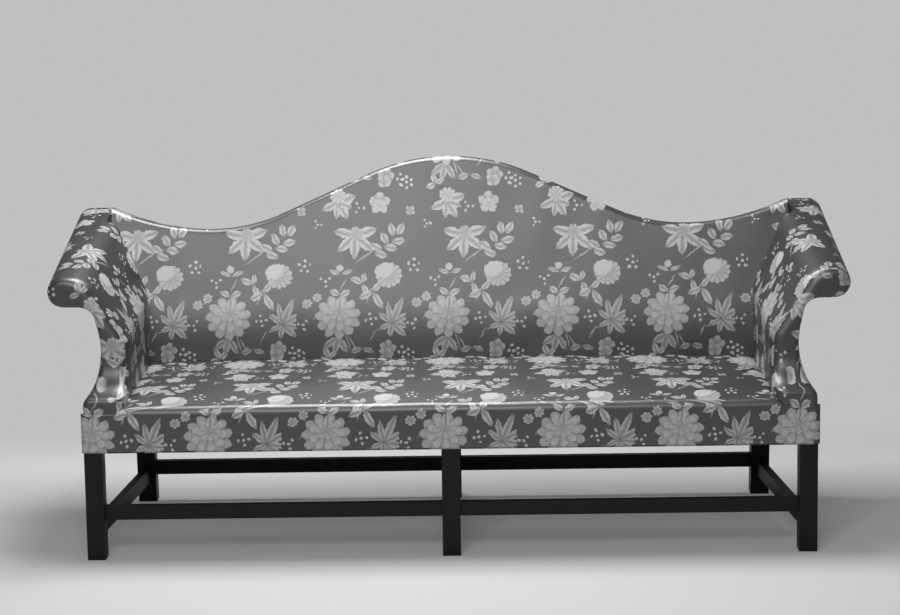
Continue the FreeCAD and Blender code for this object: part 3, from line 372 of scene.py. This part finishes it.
def grained_wood(name, colour, along, gloss):
    """Straight-grained wood: long pores and bands along the piece, under polish or left plain."""
    material, tree = new_material(name)
    place = add(tree, "TexCoord", out=3)
    # bands about 11 mm wide, pores about 1.2 mm wide and 18 mm long
    stretch = [9.0, 9.0, 9.0]
    stretch[along] = 0.6
    bands = add(tree, "TexNoise", add(tree, "VectorMath", place, tuple(s * 10 for s in stretch),
                                      operation="MULTIPLY"), None, 1.0, 4.0, 0.6)
    pores = add(tree, "TexNoise", add(tree, "VectorMath", place, tuple(s * 90 for s in stretch),
                                      operation="MULTIPLY"), None, 1.0, 2.0, 0.5)
    dark = add(tree, "MapRange", bands, 0.3, 0.7, 0.65, 1.35)
    pore = add(tree, "MapRange", pores, 0.35, 0.5, 0.75, 1.0)
    shade = add(tree, "Math", dark, pore, operation="MULTIPLY")
    tint = add(tree, "VectorMath", hex_colour(colour)[:3], operation="SCALE", named={3: shade})
    relief = add(tree, "Bump", named={"Strength": 0.2, "Distance": 0.0003, "Height": pores})
    rough = add(tree, "MapRange", bands, 0.3, 0.7, gloss, gloss + 0.12)
    surface = add(tree, "BsdfPrincipled", named={
        "Base Color": tint, "Roughness": rough, "Normal": relief, "Specular IOR Level": 0.2})
    finish_material(tree, surface)
    return material


def plain_weave(name, colour, threads_per_metre):
    """Coarse cloth: crossing threads, each a little lighter on its crown."""
    material, tree = new_material(name)
    place = add(tree, "TexCoord", out=3)
    parts = add(tree, "SeparateXYZ", add(tree, "VectorMath", place, (threads_per_metre * math.pi,) * 3,
                                         operation="MULTIPLY")).node.outputs
    across = add(tree, "Math", parts[0], operation="SINE")
    up = add(tree, "Math", add(tree, "Math", parts[1], parts[2], operation="ADD"), operation="SINE")
    cross = add(tree, "Math", across, up, operation="MULTIPLY")
    # painted light and shade: each thread's crown is lighter and the hollows between threads are darker
    shade = add(tree, "MapRange", cross, -1.0, 1.0, 0.75, 1.15)
    tint = add(tree, "VectorMath", hex_colour(colour)[:3], operation="SCALE", named={3: shade})
    relief = add(tree, "Bump", named={"Strength": 0.4, "Distance": 0.0005, "Height": cross})
    surface = add(tree, "BsdfPrincipled", named={
        "Base Color": tint, "Roughness": 0.9, "Normal": relief, "Sheen Weight": 0.2})
    finish_material(tree, surface)
    return material


def blued_steel():
    """Cut tacks: dark blued steel with a faint bloom."""
    material, tree = new_material("blued steel")
    bloom = add(tree, "TexNoise", add(tree, "TexCoord", out=3), None, 400.0, 2.0, 0.5)
    rough = add(tree, "MapRange", bloom, 0.3, 0.7, 0.3, 0.5)
    surface = add(tree, "BsdfPrincipled", named={
        "Base Color": hex_colour("#3a3c42"), "Metallic": 1.0, "Roughness": rough})
    finish_material(tree, surface)
    return material


# Mesh helpers

def to_row(x, y, z):
    """From depth behind the seat's front to the row frame."""
    return Vector((x, y + FRONT, z))


def leaned(x, y, z):
    """Leans a point of the back about the top rear edge of the seat frame."""
    dy, dz = y - FRAME_REAR, z - RAIL_TOP
    return to_row(x, FRAME_REAR + dy * math.cos(LEAN) + dz * math.sin(LEAN),
                  RAIL_TOP - dy * math.sin(LEAN) + dz * math.cos(LEAN))


def wrapped(bm, across, up, place, cloth):
    """A grid of quads laid over a form: place gives each corner's point, cloth its place on the cloth."""
    layer = bm.loops.layers.uv.verify()
    grid = bmesh.ops.create_grid(bm, x_segments=across, y_segments=up, size=0.5)
    corners = {v: (v.co.x + 0.5, v.co.y + 0.5) for v in grid["verts"]}
    for face in {f for v in corners for f in v.link_faces}:
        for loop in face.loops:
            loop[layer].uv = cloth(*corners[loop.vert])
    for vert, (s, t) in corners.items():
        vert.co = place(s, t)


def close_up(bm):
    bmesh.ops.remove_doubles(bm, verts=bm.verts, dist=1e-5)
    bmesh.ops.holes_fill(bm, edges=bm.edges)
    bmesh.ops.recalc_face_normals(bm, faces=bm.faces)


def make_piece(name, bm, material):
    mesh = bpy.data.meshes.new(name)
    bm.to_mesh(mesh)
    bm.free()
    piece = bpy.data.objects.new(name, mesh)
    bpy.context.scene.collection.objects.link(piece)
    for face in mesh.polygons:
        face.use_smooth = True
    mesh.materials.append(material)
    return piece


def unevenness(point, scale, height):
    """How far hand stuffing stands proud at a point, smooth and the same on each run."""
    return height * noise.noise(point * scale)


def material_once(name, make):
    return bpy.data.materials.get(name) or make()


def satin():
    return material_once("flowered satin damask", flowered_satin)


# Seat

def seat_profile(count):
    """Depth and height from the turned-under edge, up the front, over the edge and back."""
    points = [(TURN_UNDER * (1 - i / 6), BASE_Z) for i in range(TURN_UNDER_STEPS + 1)]
    rise = SEAT_EDGE - SEAT_EDGE_RADIUS
    points += [(0.0, BASE_Z + (rise - BASE_Z) * i / 16) for i in range(1, 17)]
    for i in range(1, 9):
        a = math.pi / 2 * i / 8
        points.append((SEAT_EDGE_RADIUS * (1 - math.cos(a)), rise + SEAT_EDGE_RADIUS * math.sin(a)))
    deep = FRAME_REAR - 0.02
    for i in range(1, count + 1):
        y = SEAT_EDGE_RADIUS + (deep - SEAT_EDGE_RADIUS) * i / count
        points.append((y, crown(y)))
    return points


def crown(y):
    """Height of the seat's middle, an arc from the front edge over the crown to the back."""
    middle = FRAME_REAR / 2
    if y < middle:
        t = (middle - y) / (middle - SEAT_EDGE_RADIUS)
        return SEAT_EDGE + SEAT_CROWN * (1 - t * t)
    t = (y - middle) / (FRAME_REAR - middle)
    return SEAT_EDGE + SEAT_CROWN + (SEAT_REAR - SEAT_EDGE - SEAT_CROWN) * t * t


def seat_limit(x):
    """Height that the seat's rounded ends allow."""
    x = abs(x)
    turn = SEAT_END - SEAT_END_RADIUS
    end = SEAT_EDGE + SEAT_CROWN - SEAT_END_DROP
    if x < turn:
        return end + SEAT_END_DROP * (1 - (x / turn) ** 2)
    if x < SEAT_END:
        return max(end - SEAT_END_RADIUS + math.sqrt(SEAT_END_RADIUS ** 2 - (x - turn) ** 2), DECK)
    return DECK


def soft_min(a, b, blend=0.008):
    h = max(0.0, min(1.0, 0.5 + 0.5 * (b - a) / blend))
    return a * h + b * (1 - h) - blend * h * (1 - h)


def dress_seat():
    sizes = bpy.context.scene.sofa_sizes
    profile = seat_profile(64)
    run = [0.0]
    for a, b in zip(profile, profile[1:]):
        run.append(run[-1] + math.hypot(b[0] - a[0], b[1] - a[1]))
    last = len(profile) - 1
    above_deck = DECK - 0.02

    def place(s, t):
        y, z = profile[round(t * last)]
        # behind the front the seat narrows to fit between the arms
        tucked = max(0.0, min(1.0, (y - 0.004) / 0.012)) if z > above_deck else 0.0
        x = (s - 0.5) * 2 * step(HALF_LENGTH, SEAT_END, tucked)
        z = soft_min(z, seat_limit(x)) if z > above_deck else z
        into = abs(x) - (HALF_LENGTH - SEAT_CORNER)
        if into > 0 and y < TURN_UNDER:
            y += SEAT_CORNER - math.sqrt(max(0.0, SEAT_CORNER ** 2 - into * into))
        point = to_row(x, y, z)
        if t > 0.1:
            point.z += unevenness(point, 9.0, sizes.pull)
        return point

    def cloth(s, t):
        up = run[round(t * last)] - run[TURN_UNDER_STEPS] + BASE_Z
        return (s - 0.5) * 2 * HALF_LENGTH - RAIL_PEONY_X, up - RAIL_PEONY_Z

    bm = bmesh.new()
    wrapped(bm, 254, last, place, cloth)
    edge = [e for e in bm.edges if e.is_boundary]
    low = bmesh.ops.extrude_edge_only(bm, edges=edge)
    for vert in [v for v in low["geom"] if isinstance(v, bmesh.types.BMVert)]:
        vert.co.z = BASE_Z + 0.0005
    close_up(bm)
    piece = make_piece("seat_cushioning", bm, satin())
    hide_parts("seat_cover", "seat_stuffing", "front_edge_roll", "front_rail_wadding")
    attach(piece, "root")


# Back

def crest(x):
    """Height of the crest line before leaning."""
    x = abs(x)
    rise = 1 - math.cos(CREST_SLOPE)
    run = CREST_LOW - HUMP_RADIUS * math.sin(CREST_SLOPE)
    fall = CREST_DROP - HUMP_RADIUS * rise
    tangent = math.tan(CREST_SLOPE)
    low_radius = (run * tangent - fall) / (math.sin(CREST_SLOPE) * tangent - rise)
    if x < HUMP_RADIUS * math.sin(CREST_SLOPE):
        return CREST_TOP - HUMP_RADIUS + math.sqrt(HUMP_RADIUS ** 2 - x * x)
    if x < CREST_LOW - low_radius * math.sin(CREST_SLOPE):
        start = CREST_TOP - HUMP_RADIUS * rise
        return start - (x - HUMP_RADIUS * math.sin(CREST_SLOPE)) * tangent
    radius = low_radius if x < CREST_LOW else EAR_RADIUS
    return CREST_TOP - CREST_DROP + radius - math.sqrt(radius ** 2 - (x - CREST_LOW) ** 2)


def back_front(z):
    """Depth of the back's front face before leaning: full at the seat, thinner at the top."""
    top = CREST_TOP + SCROLL_RADIUS
    taper = (BACK_PAD_LOW - BACK_PAD_TOP) / (CREST_TOP - SEAT_REAR)
    low_y = BACK_REAR - BACK_PAD_LOW - taper * (SEAT_REAR - BASE_Z)
    high_y = BACK_REAR - BACK_PAD_TOP + taper * (top - CREST_TOP)
    t = (z - BASE_Z) / (top - BASE_Z)
    tuck = max(0.0, 1 - (z - SEAT_REAR) / BACK_TUCK_HEIGHT)
    return low_y + (high_y - low_y) * t - BACK_BULGE * 4 * t * (1 - t) + BACK_TUCK * tuck * tuck


def back_half(z):
    """Half the back's length: between the arms low down, out to the ears above them."""
    t = max(0.0, min(1.0, (z - BACK_WIDENS) / BACK_WIDENING))
    return SEAT_END + (BACK_END - SEAT_END) * t * t * (3 - 2 * t)


def dress_back():
    sizes = bpy.context.scene.sofa_sizes
    rows, turn_rows, rear_rows = 76, 12, 30
    last = rows + turn_rows + rear_rows

    def outline(x, i):
        """Depth, height and run of cloth at a step of the way round the back's section."""
        high = crest(x)
        radius = sizes.crest_round
        low = DECK + 0.002
        straight = high - radius
        front_y = back_front(straight)
        if i <= rows:
            z = low + (straight - low) * i / rows
            return back_front(z), z, z
        if i <= rows + turn_rows:
            a = math.pi / 2 * (i - rows) / turn_rows
            up = straight + radius * math.sin(a)
            return front_y + radius * (1 - math.cos(a)), up, straight + radius * a
        k = (i - rows - turn_rows) / rear_rows
        rear = INNER_REAR
        y0 = front_y + radius
        length = (rear - y0) + (high - low)
        d = k * length
        run = straight + radius * math.pi / 2 + d
        if d < rear - y0:
            return y0 + d, high, run
        return rear, high - (d - (rear - y0)), run

    def place(s, t):
        y, z, _ = outline((s - 0.5) * 2 * BACK_END, round(t * last))
        point = leaned((s - 0.5) * 2 * back_half(z), y, z)
        if t < 0.8:
            point.y += unevenness(point, 8.0, sizes.pull)
            point.z += unevenness(point + Vector((5, 0, 0)), 14.0, sizes.pull * 0.5)
        return point

    def cloth(s, t):
        _, z, run = outline((s - 0.5) * 2 * BACK_END, round(t * last))
        return (s - 0.5) * 2 * back_half(z) - BACK_PEONY_X, run - BACK_PEONY_Z

    bm = bmesh.new()
    wrapped(bm, 260, last, place, cloth)
    close_up(bm)
    layer = bm.loops.layers.uv.verify()
    for face in bm.faces:
        if abs(face.normal.x) > 0.8:
            for loop in face.loops:
                loop[layer].uv = (loop.vert.co.y, loop.vert.co.z)
    piece = make_piece("back_cushioning", bm, satin())
    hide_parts("inside_back_cover", "back_stuffing")
    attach(piece, "root")


# Arms

def step(a, b, t):
    return a + (b - a) * t


def arc_points(a, middle, b, count):
    """Points on the circle through three points, after the first, to the last."""
    (ax, az), (mx, mz), (bx, bz) = a, middle, b
    d = 2 * (ax * (mz - bz) + mx * (bz - az) + bx * (az - mz))
    a2, m2, b2 = ax * ax + az * az, mx * mx + mz * mz, bx * bx + bz * bz
    cx = (a2 * (mz - bz) + m2 * (bz - az) + b2 * (az - mz)) / d
    cz = (a2 * (bx - mx) + m2 * (ax - bx) + b2 * (mx - ax)) / d
    r = math.hypot(ax - cx, az - cz)
    start = math.atan2(az - cz, ax - cx)
    via = math.atan2(mz - cz, mx - cx)
    end = math.atan2(bz - cz, bx - cx)
    turn = (end - start) % (2 * math.pi)
    if (via - start) % (2 * math.pi) > turn:
        turn -= 2 * math.pi
    return [(cx + r * math.cos(start + turn * i / count), cz + r * math.sin(start + turn * i / count))
            for i in range(1, count + 1)]


def line_points(a, b, count):
    return [(step(a[0], b[0], i / count), step(a[1], b[1], i / count)) for i in range(1, count + 1)]


def arm_section(y):
    """Section across the right arm, from the inside foot up, over the scroll and down the outside."""
    t = (y - ARM_FRONT) / SCROLL_RUN
    cx, cz = step(1.005, 1.014, t), step(0.691, 0.795, t)
    r = SCROLL_RADIUS
    break_z = cz - step(0.131, 0.165, t)
    shoulder = step(0.084, 0.060, t)
    shoulder_x = cx - step(0.012, 0.046, t)
    shoulder_z = cz + r - shoulder
    to_x, to_z = shoulder_x - ARM_INSIDE, shoulder_z - break_z
    reach = math.hypot(to_x, to_z)
    rise = math.atan2(to_z, to_x) + math.asin(shoulder / reach)
    touch = math.sqrt(reach * reach - shoulder * shoulder)
    touch_at = (ARM_INSIDE + touch * math.cos(rise), break_z + touch * math.sin(rise))
    half = (math.atan2(touch_at[1] - shoulder_z, touch_at[0] - shoulder_x) + math.pi / 2) / 2
    shoulder_mid = (shoulder_x + shoulder * math.cos(half), shoulder_z + shoulder * math.sin(half))
    outside = HALF_LENGTH - SIDE_SLOPE * y
    neck_x = outside - step(0.026, -0.042, t)
    neck_z = cz - r - NECK_RADIUS
    s = math.sqrt(0.5)
    foot = (ARM_INSIDE, BASE_Z)
    knee = (ARM_INSIDE, break_z)
    base_top = (outside, 0.416)
    waist = (outside - step(0.037, -0.028, t), cz - WAIST_DROP)
    points = [foot]
    points += line_points(foot, knee, 26)
    points += line_points(knee, touch_at, 6)
    points += arc_points(touch_at, shoulder_mid, (shoulder_x, cz + r), 16)
    points += line_points((shoulder_x, cz + r), (cx, cz + r), 5)
    points += arc_points((cx, cz + r), (cx + r, cz), (cx, cz - r), 26)
    points += line_points((cx, cz - r), (neck_x + NECK_RADIUS, neck_z + NECK_RADIUS), 3)
    points += arc_points((neck_x + NECK_RADIUS, neck_z + NECK_RADIUS),
                         (neck_x + NECK_RADIUS * (1 - s), neck_z + NECK_RADIUS * s), (neck_x, neck_z), 10)
    points += arc_points((neck_x, neck_z), waist, base_top, 22)
    points += line_points(base_top, (outside, BASE_Z), 12)
    points += line_points((outside, BASE_Z), foot, 8)
    return points


def front_round(index):
    """Radius of the arm's front edge: wide up the inside, small round the scroll and down the outside."""
    if index <= 32:
        return ARM_EDGE
    if index <= 48:
        return step(ARM_EDGE, SCROLL_EDGE, (index - 32) / 16)
    return SCROLL_EDGE if index < 80 else OUTSIDE_EDGE


def arm_blank(side):
    """The arm's whole form: the lofted body, cut off behind, and the swept toe in front of it."""
    bm = bmesh.new()
    stations = 70
    deep = 0.75
    samples = len(arm_section(0.1)) - 1

    def place(s, t):
        index = round(t * samples)
        y = ARM_FRONT + (deep - ARM_FRONT) * s ** 1.6
        points = arm_section(y)
        x, z = points[index]
        radius = front_round(index)
        into = radius - (y - ARM_FRONT)
        if into > 0:
            (x0, z0), (x1, z1) = points[max(index - 1, 0)], points[min(index + 1, samples)]
            length = math.hypot(x1 - x0, z1 - z0)
            sunk = radius - math.sqrt(max(0.0, radius ** 2 - into ** 2))
            x += sunk * (z1 - z0) / length
            z -= sunk * (x1 - x0) / length
        return to_row(side * x, y, z)

    wrapped(bm, stations, samples, place, lambda s, t: (s, t))
    close_up(bm)
    bmesh.ops.bisect_plane(bm, geom=bm.verts[:] + bm.edges[:] + bm.faces[:],
                           plane_co=to_row(0, INNER_REAR, RAIL_TOP),
                           plane_no=(0, math.cos(LEAN), -math.sin(LEAN)), clear_outer=True)
    bmesh.ops.holes_fill(bm, edges=bm.edges)
    bmesh.ops.recalc_face_normals(bm, faces=bm.faces)
    toe = bmesh.new()
    section = arm_section(ARM_FRONT)
    top = ARM_BASE_TOP + ARM_SWEEP
    outer = sorted(((z, x) for x, z in section if x > 0.9 and z < top + 0.02))

    def side_at(z):
        for (z0, x0), (z1, x1) in zip(outer, outer[1:]):
            if z0 <= z <= z1:
                return step(x0, x1, (z - z0) / (z1 - z0) if z1 > z0 else 0)
        return outer[-1][1] if z > top else outer[0][1]

    def sweep_y(z):
        if z >= top:
            return ARM_FRONT
        a = math.asin(min(1.0, (top - z) / ARM_SWEEP)) if z > top - ARM_SWEEP else math.pi / 2
        return max(COVER, ARM_SWEEP * math.cos(a) + ARM_FRONT - ARM_SWEEP)

    def toe_place(s, t):
        z = step(BASE_Z, top, t)
        inner, outside = ARM_INSIDE, side_at(z)
        if s < 0.5:
            k = s / 0.5
            x, y = step(inner, outside, k), sweep_y(z)
        else:
            k = (s - 0.5) / 0.5
            x, y = step(outside, inner, k), ARM_FRONT + TOE_LAP
        inset = ARM_EDGE - (x - inner)
        if s < 0.5 and inset > 0:
            y = min(y + ARM_EDGE - math.sqrt(ARM_EDGE ** 2 - inset ** 2), ARM_FRONT + TOE_LAP)
        shift = (ARM_FRONT - y) * SIDE_SLOPE * max(0.0, (x - inner) / (outside - inner))
        return to_row(side * (x + shift), y, z)

    wrapped(toe, 40, 44, toe_place, lambda s, t: (s, t))
    bmesh.ops.remove_doubles(toe, verts=toe.verts, dist=1e-5)
    ends = [e for e in toe.edges if e.is_boundary]
    bmesh.ops.holes_fill(toe, edges=ends)
    bmesh.ops.recalc_face_normals(toe, faces=toe.faces)
    mesh = bpy.data.meshes.new("toe")
    toe.to_mesh(mesh)
    toe.free()
    bm.from_mesh(mesh)
    bpy.data.meshes.remove(mesh)
    return bm


def rebuilt(bm, cell, smooth):
    """Welds the forms into one skin of even quads and rounds its edges."""
    mesh = bpy.data.meshes.new("blank")
    bm.to_mesh(mesh)
    bm.free()
    blank = bpy.data.objects.new("blank", mesh)
    bpy.context.scene.collection.objects.link(blank)
    welded = blank.modifiers.new("weld", "REMESH")
    welded.mode = "VOXEL"
    welded.voxel_size = cell
    graph = bpy.context.evaluated_depsgraph_get()
    skin = bpy.data.meshes.new_from_object(blank.evaluated_get(graph))
    bpy.data.objects.remove(blank)
    bpy.data.meshes.remove(mesh)
    bm = bmesh.new()
    bm.from_mesh(skin)
    bpy.data.meshes.remove(skin)
    for _ in range(smooth):
        bmesh.ops.smooth_vert(bm, verts=bm.verts, factor=0.5, use_axis_x=True, use_axis_y=True,
                              use_axis_z=True)
    return bm


def girth_finder():
    """Gives the run of cloth round the right arm at a point, from sections along it."""
    tree_points = []
    sections = []
    for j in range(72):
        y = step(0.0, 0.71, j / 71)
        points = arm_section(y)
        run = [0.0]
        for a, b in zip(points, points[1:]):
            run.append(run[-1] + math.hypot(b[0] - a[0], b[1] - a[1]))
        sections.append((points, run))
        tree_points += [(x, y, z, j, i) for i, (x, z) in enumerate(points)]
    tree = KDTree(len(tree_points))
    for index, (x, y, z, _, _) in enumerate(tree_points):
        tree.insert((x, y, z), index)
    tree.balance()

    def find(x, y, z):
        _, index, _ = tree.find((x, y, z))
        _, _, _, j, i = tree_points[index]
        points, run = sections[j]
        best, value = 1e9, run[i]
        for a in (i - 1, i):
            if 0 <= a < len(points) - 1:
                (x0, z0), (x1, z1) = points[a], points[a + 1]
                dx, dz = x1 - x0, z1 - z0
                length = dx * dx + dz * dz or 1e-12
                k = max(0.0, min(1.0, ((x - x0) * dx + (z - z0) * dz) / length))
                off = math.hypot(x - x0 - k * dx, z - z0 - k * dz)
                if off < best:
                    best, value = off, step(run[a], run[a + 1], k)
        return value

    return find


def dress_arms():
    sizes = bpy.context.scene.sofa_sizes
    find = girth_finder()
    for name, side in (("left", -1), ("right", 1)):
        bm = rebuilt(arm_blank(side), sizes.voxel, 5)
        layer = bm.loops.layers.uv.verify()
        bm.normal_update()
        girth = {}
        for vert in bm.verts:
            girth[vert] = find(side * vert.co.x, vert.co.y - FRONT, vert.co.z)
        for face in bm.faces:
            middle = face.calc_center_median()
            front = face.normal.y < -0.6 and middle.y - FRONT < ARM_FRONT + 0.01
            behind = face.normal.y > 0.6
            swept = middle.y - FRONT < ARM_FRONT - 0.002 and not front and face.normal.z > 0.5
            for loop in face.loops:
                at = loop.vert.co
                if front or behind or swept:
                    up = at.z - (at.y - FRONT if middle.z < 0.52 else 0.0)
                    facing = 1 if front or swept else -1
                    loop[layer].uv = (at.x * facing - RAIL_PEONY_X, up - RAIL_PEONY_Z)
                else:
                    along = side * (at.y - FRONT)
                    loop[layer].uv = (along - ARM_PEONY_Y, girth[loop.vert] + BASE_Z - ARM_PEONY_RUN)
        piece = make_piece("arm_cushioning_" + name, bm, satin())
        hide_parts(*(part + "_" + name for part in (
            "arm_stuffing", "inside_arm_cover", "outside_arm_cover", "arm_front_facing",
            "side_rail_wadding")))
        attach(piece, "root")


# Rear and underside

def copied(node):
    """A merged copy of a CAD node's mesh."""
    bm = bmesh.new()
    bm.from_mesh(frame["nodes"][node].data)
    bmesh.ops.remove_doubles(bm, verts=bm.verts, dist=1e-5)
    return bm


def dress_rear():
    bm = copied("outside_back_cover")
    bmesh.ops.dissolve_limit(bm, angle_limit=math.radians(1), verts=bm.verts, edges=bm.edges)
    bmesh.ops.triangulate(bm, faces=bm.faces)
    layer = bm.loops.layers.uv.verify()
    for face in bm.faces:
        for loop in face.loops:
            at = loop.vert.co
            loop[layer].uv = (-at.x, at.z + 0.1)
    piece = make_piece("outside_back_panel", bm, satin())
    for face in piece.data.polygons:
        face.use_smooth = False
    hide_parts("outside_back_cover")
    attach(piece, "root")


def dress_underside():
    bm = copied("dust_cover")
    piece = make_piece("dust_cloth", bm, material_once(
        "black cambric", lambda: plain_weave("black cambric", "#1c1c1c", 900)))
    for face in piece.data.polygons:
        face.use_smooth = False
    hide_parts("dust_cover")
    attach(piece, "root")


def finish_frame():
    colours = bpy.context.scene.sofa_colours
    show = {axis: grained_wood("polished mahogany, " + "xyz"[axis] + " grain", colours.wood, axis, 0.42)
            for axis in (0, 1, 2)}
    plain = {axis: grained_wood("sawn beech, " + "xyz"[axis] + " grain", "#b08d62", axis, 0.65)
             for axis in (0, 1, 2)}
    jute = plain_weave("jute webbing", "#a08a66", 500)
    linen = plain_weave("linen canvas", "#a99a80", 700)
    tacks = blued_steel()
    slots = {entry["node"]: entry["material_slot"] for entry in frame["record"]["subparts"]}
    for name, piece in frame["nodes"].items():
        low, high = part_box(name)
        sizes = [high[i] - low[i] for i in range(3)]
        along = sizes.index(max(sizes))
        if name.startswith("arm_top_rail"):
            along = 1
        slot = slots[name]
        if slot == "mahogany":
            material = show[along]
        elif slot == "frame_wood":
            material = plain[along]
        elif slot == "tacks":
            material = tacks
        elif slot == "webbing":
            material = jute
        else:
            material = linen
        piece.data.materials.clear()
        piece.data.materials.append(material)


# Stage

def set_stage():
    colours = bpy.context.scene.sofa_colours
    scene = bpy.context.scene
    scene.view_settings.view_transform = "Standard"
    bm = bmesh.new()
    bmesh.ops.create_grid(bm, x_segments=1, y_segments=1, size=60.0)
    mesh = bpy.data.meshes.new("floor")
    bm.to_mesh(mesh)
    bm.free()
    floor = bpy.data.objects.new("floor", mesh)
    scene.collection.objects.link(floor)
    material, tree = new_material("painted studio floor")
    depth = add(tree, "SeparateXYZ", add(tree, "TexCoord", out=3)).node.outputs[1]
    # the floor is painted in the backdrop's tone from the line where the wall would stand
    beyond = within(tree, depth, WALL_Y, WALL_Y + 0.5)
    seen = add(tree, "LightPath").node.outputs["Is Camera Ray"]
    paint = add(tree, "BsdfPrincipled", named={
        "Base Color": hex_colour(colours.floor), "Roughness": 0.8, "Specular IOR Level": 0.2})
    even = add(tree, "Emission", hex_colour(colours.floor), 1.0)
    near = add(tree, "MixShader", add(tree, "Math", seen, 0.15, operation="MULTIPLY"), paint, even)
    tone = add(tree, "Emission", hex_colour(colours.wall), 1.0)
    surface = add(tree, "MixShader", add(tree, "Math", beyond, seen, operation="MULTIPLY"), near, tone)
    finish_material(tree, surface)
    mesh.materials.append(material)
    world = bpy.data.worlds.new("studio")
    scene.world = world
    world.use_nodes = True
    tree = world.node_tree
    tree.nodes.clear()
    seen = add(tree, "LightPath").node.outputs
    dim = add(tree, "Background", hex_colour("#c4c4c4"), 0.36)
    backdrop = add(tree, "Background", hex_colour(colours.wall), 1.0)
    add(tree, "OutputWorld", add(tree, "MixShader", seen["Is Camera Ray"], dim, backdrop))
    lamps = (
        ("front_lamp", (-0.6, -4.6, 3.0), (0, 0.2, 0.6), 2.4, 128),
        ("top_lamp", (-0.3, 0.25, 2.7), (0, 0.2, 0.4), 1.2, 92))
    for name, at, aim, size, power in lamps:
        data = bpy.data.lights.new(name, "AREA")
        data.shape = "SQUARE"
        data.size = size
        data.energy = power
        lamp = bpy.data.objects.new(name, data)
        lamp.location = at
        lamp.rotation_euler = (Vector(aim) - Vector(at)).to_track_quat("-Z", "Y").to_euler()
        scene.collection.objects.link(lamp)
    data = bpy.data.cameras.new("photo_camera")
    data.lens = 92.12
    data.sensor_width = 36.0
    data.shift_y = -0.10
    camera = bpy.data.objects.new("photo_camera", data)
    turn = Matrix.Rotation(0.01, 4, "Z") @ Matrix.Rotation(math.pi / 2 - 0.1452, 4, "X")
    place = Matrix.Translation((0.0661, -6.1415, 1.738))
    camera.matrix_world = place @ turn @ Matrix.Rotation(-0.0154, 4, "Z")
    scene.collection.objects.link(camera)
    scene.camera = camera


def operator(identifier, label, words, job):
    """An operator class for one step of the work."""
    def execute(self, context):
        job()
        return {"FINISHED"}
    return type("SOFA_OT_" + identifier, (bpy.types.Operator,), {
        "bl_idname": "sofa." + identifier, "bl_label": label, "__doc__": words, "execute": execute})


STEPS = (
    operator("seat", "Seat", "Lays the flowered cover over the domed seat and the front rail", dress_seat),
    operator("back", "Back", "Covers the serpentine back", dress_back),
    operator("arms", "Arms", "Covers both rolled arms", dress_arms),
    operator("rear", "Outside back", "Hangs the flat cover behind the back", dress_rear),
    operator("underside", "Dust cover", "Tacks the dust cover under the seat", dress_underside),
    operator("frame", "Frame", "Finishes the wood, the webs and the tacks", finish_frame),
    operator("stage", "Stage", "Sets the floor, the lamps and the camera", set_stage),
)


class SOFA_PT_panel(bpy.types.Panel):
    """Lists the steps that dress the sofa."""
    bl_idname = "SOFA_PT_panel"
    bl_label = "Sofa"
    bl_space_type = "VIEW_3D"
    bl_region_type = "UI"
    bl_category = "Sofa"

    def draw(self, context):
        for step_class in STEPS:
            self.layout.operator(step_class.bl_idname)


CLASSES = (SofaSizes, SofaColours) + STEPS + (SOFA_PT_panel,)


def register():
    for each in CLASSES:
        bpy.utils.register_class(each)
    bpy.types.Scene.sofa_sizes = bpy.props.PointerProperty(type=SofaSizes)
    bpy.types.Scene.sofa_colours = bpy.props.PointerProperty(type=SofaColours)


def unregister():
    del bpy.types.Scene.sofa_colours
    del bpy.types.Scene.sofa_sizes
    for each in reversed(CLASSES):
        bpy.utils.unregister_class(each)


def main():
    register()
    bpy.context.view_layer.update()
    bpy.ops.sofa.seat()
    bpy.ops.sofa.back()
    bpy.ops.sofa.arms()
    bpy.ops.sofa.rear()
    bpy.ops.sofa.underside()
    bpy.ops.sofa.frame()
    bpy.ops.sofa.stage()


if __name__ == "__main__":
    main()
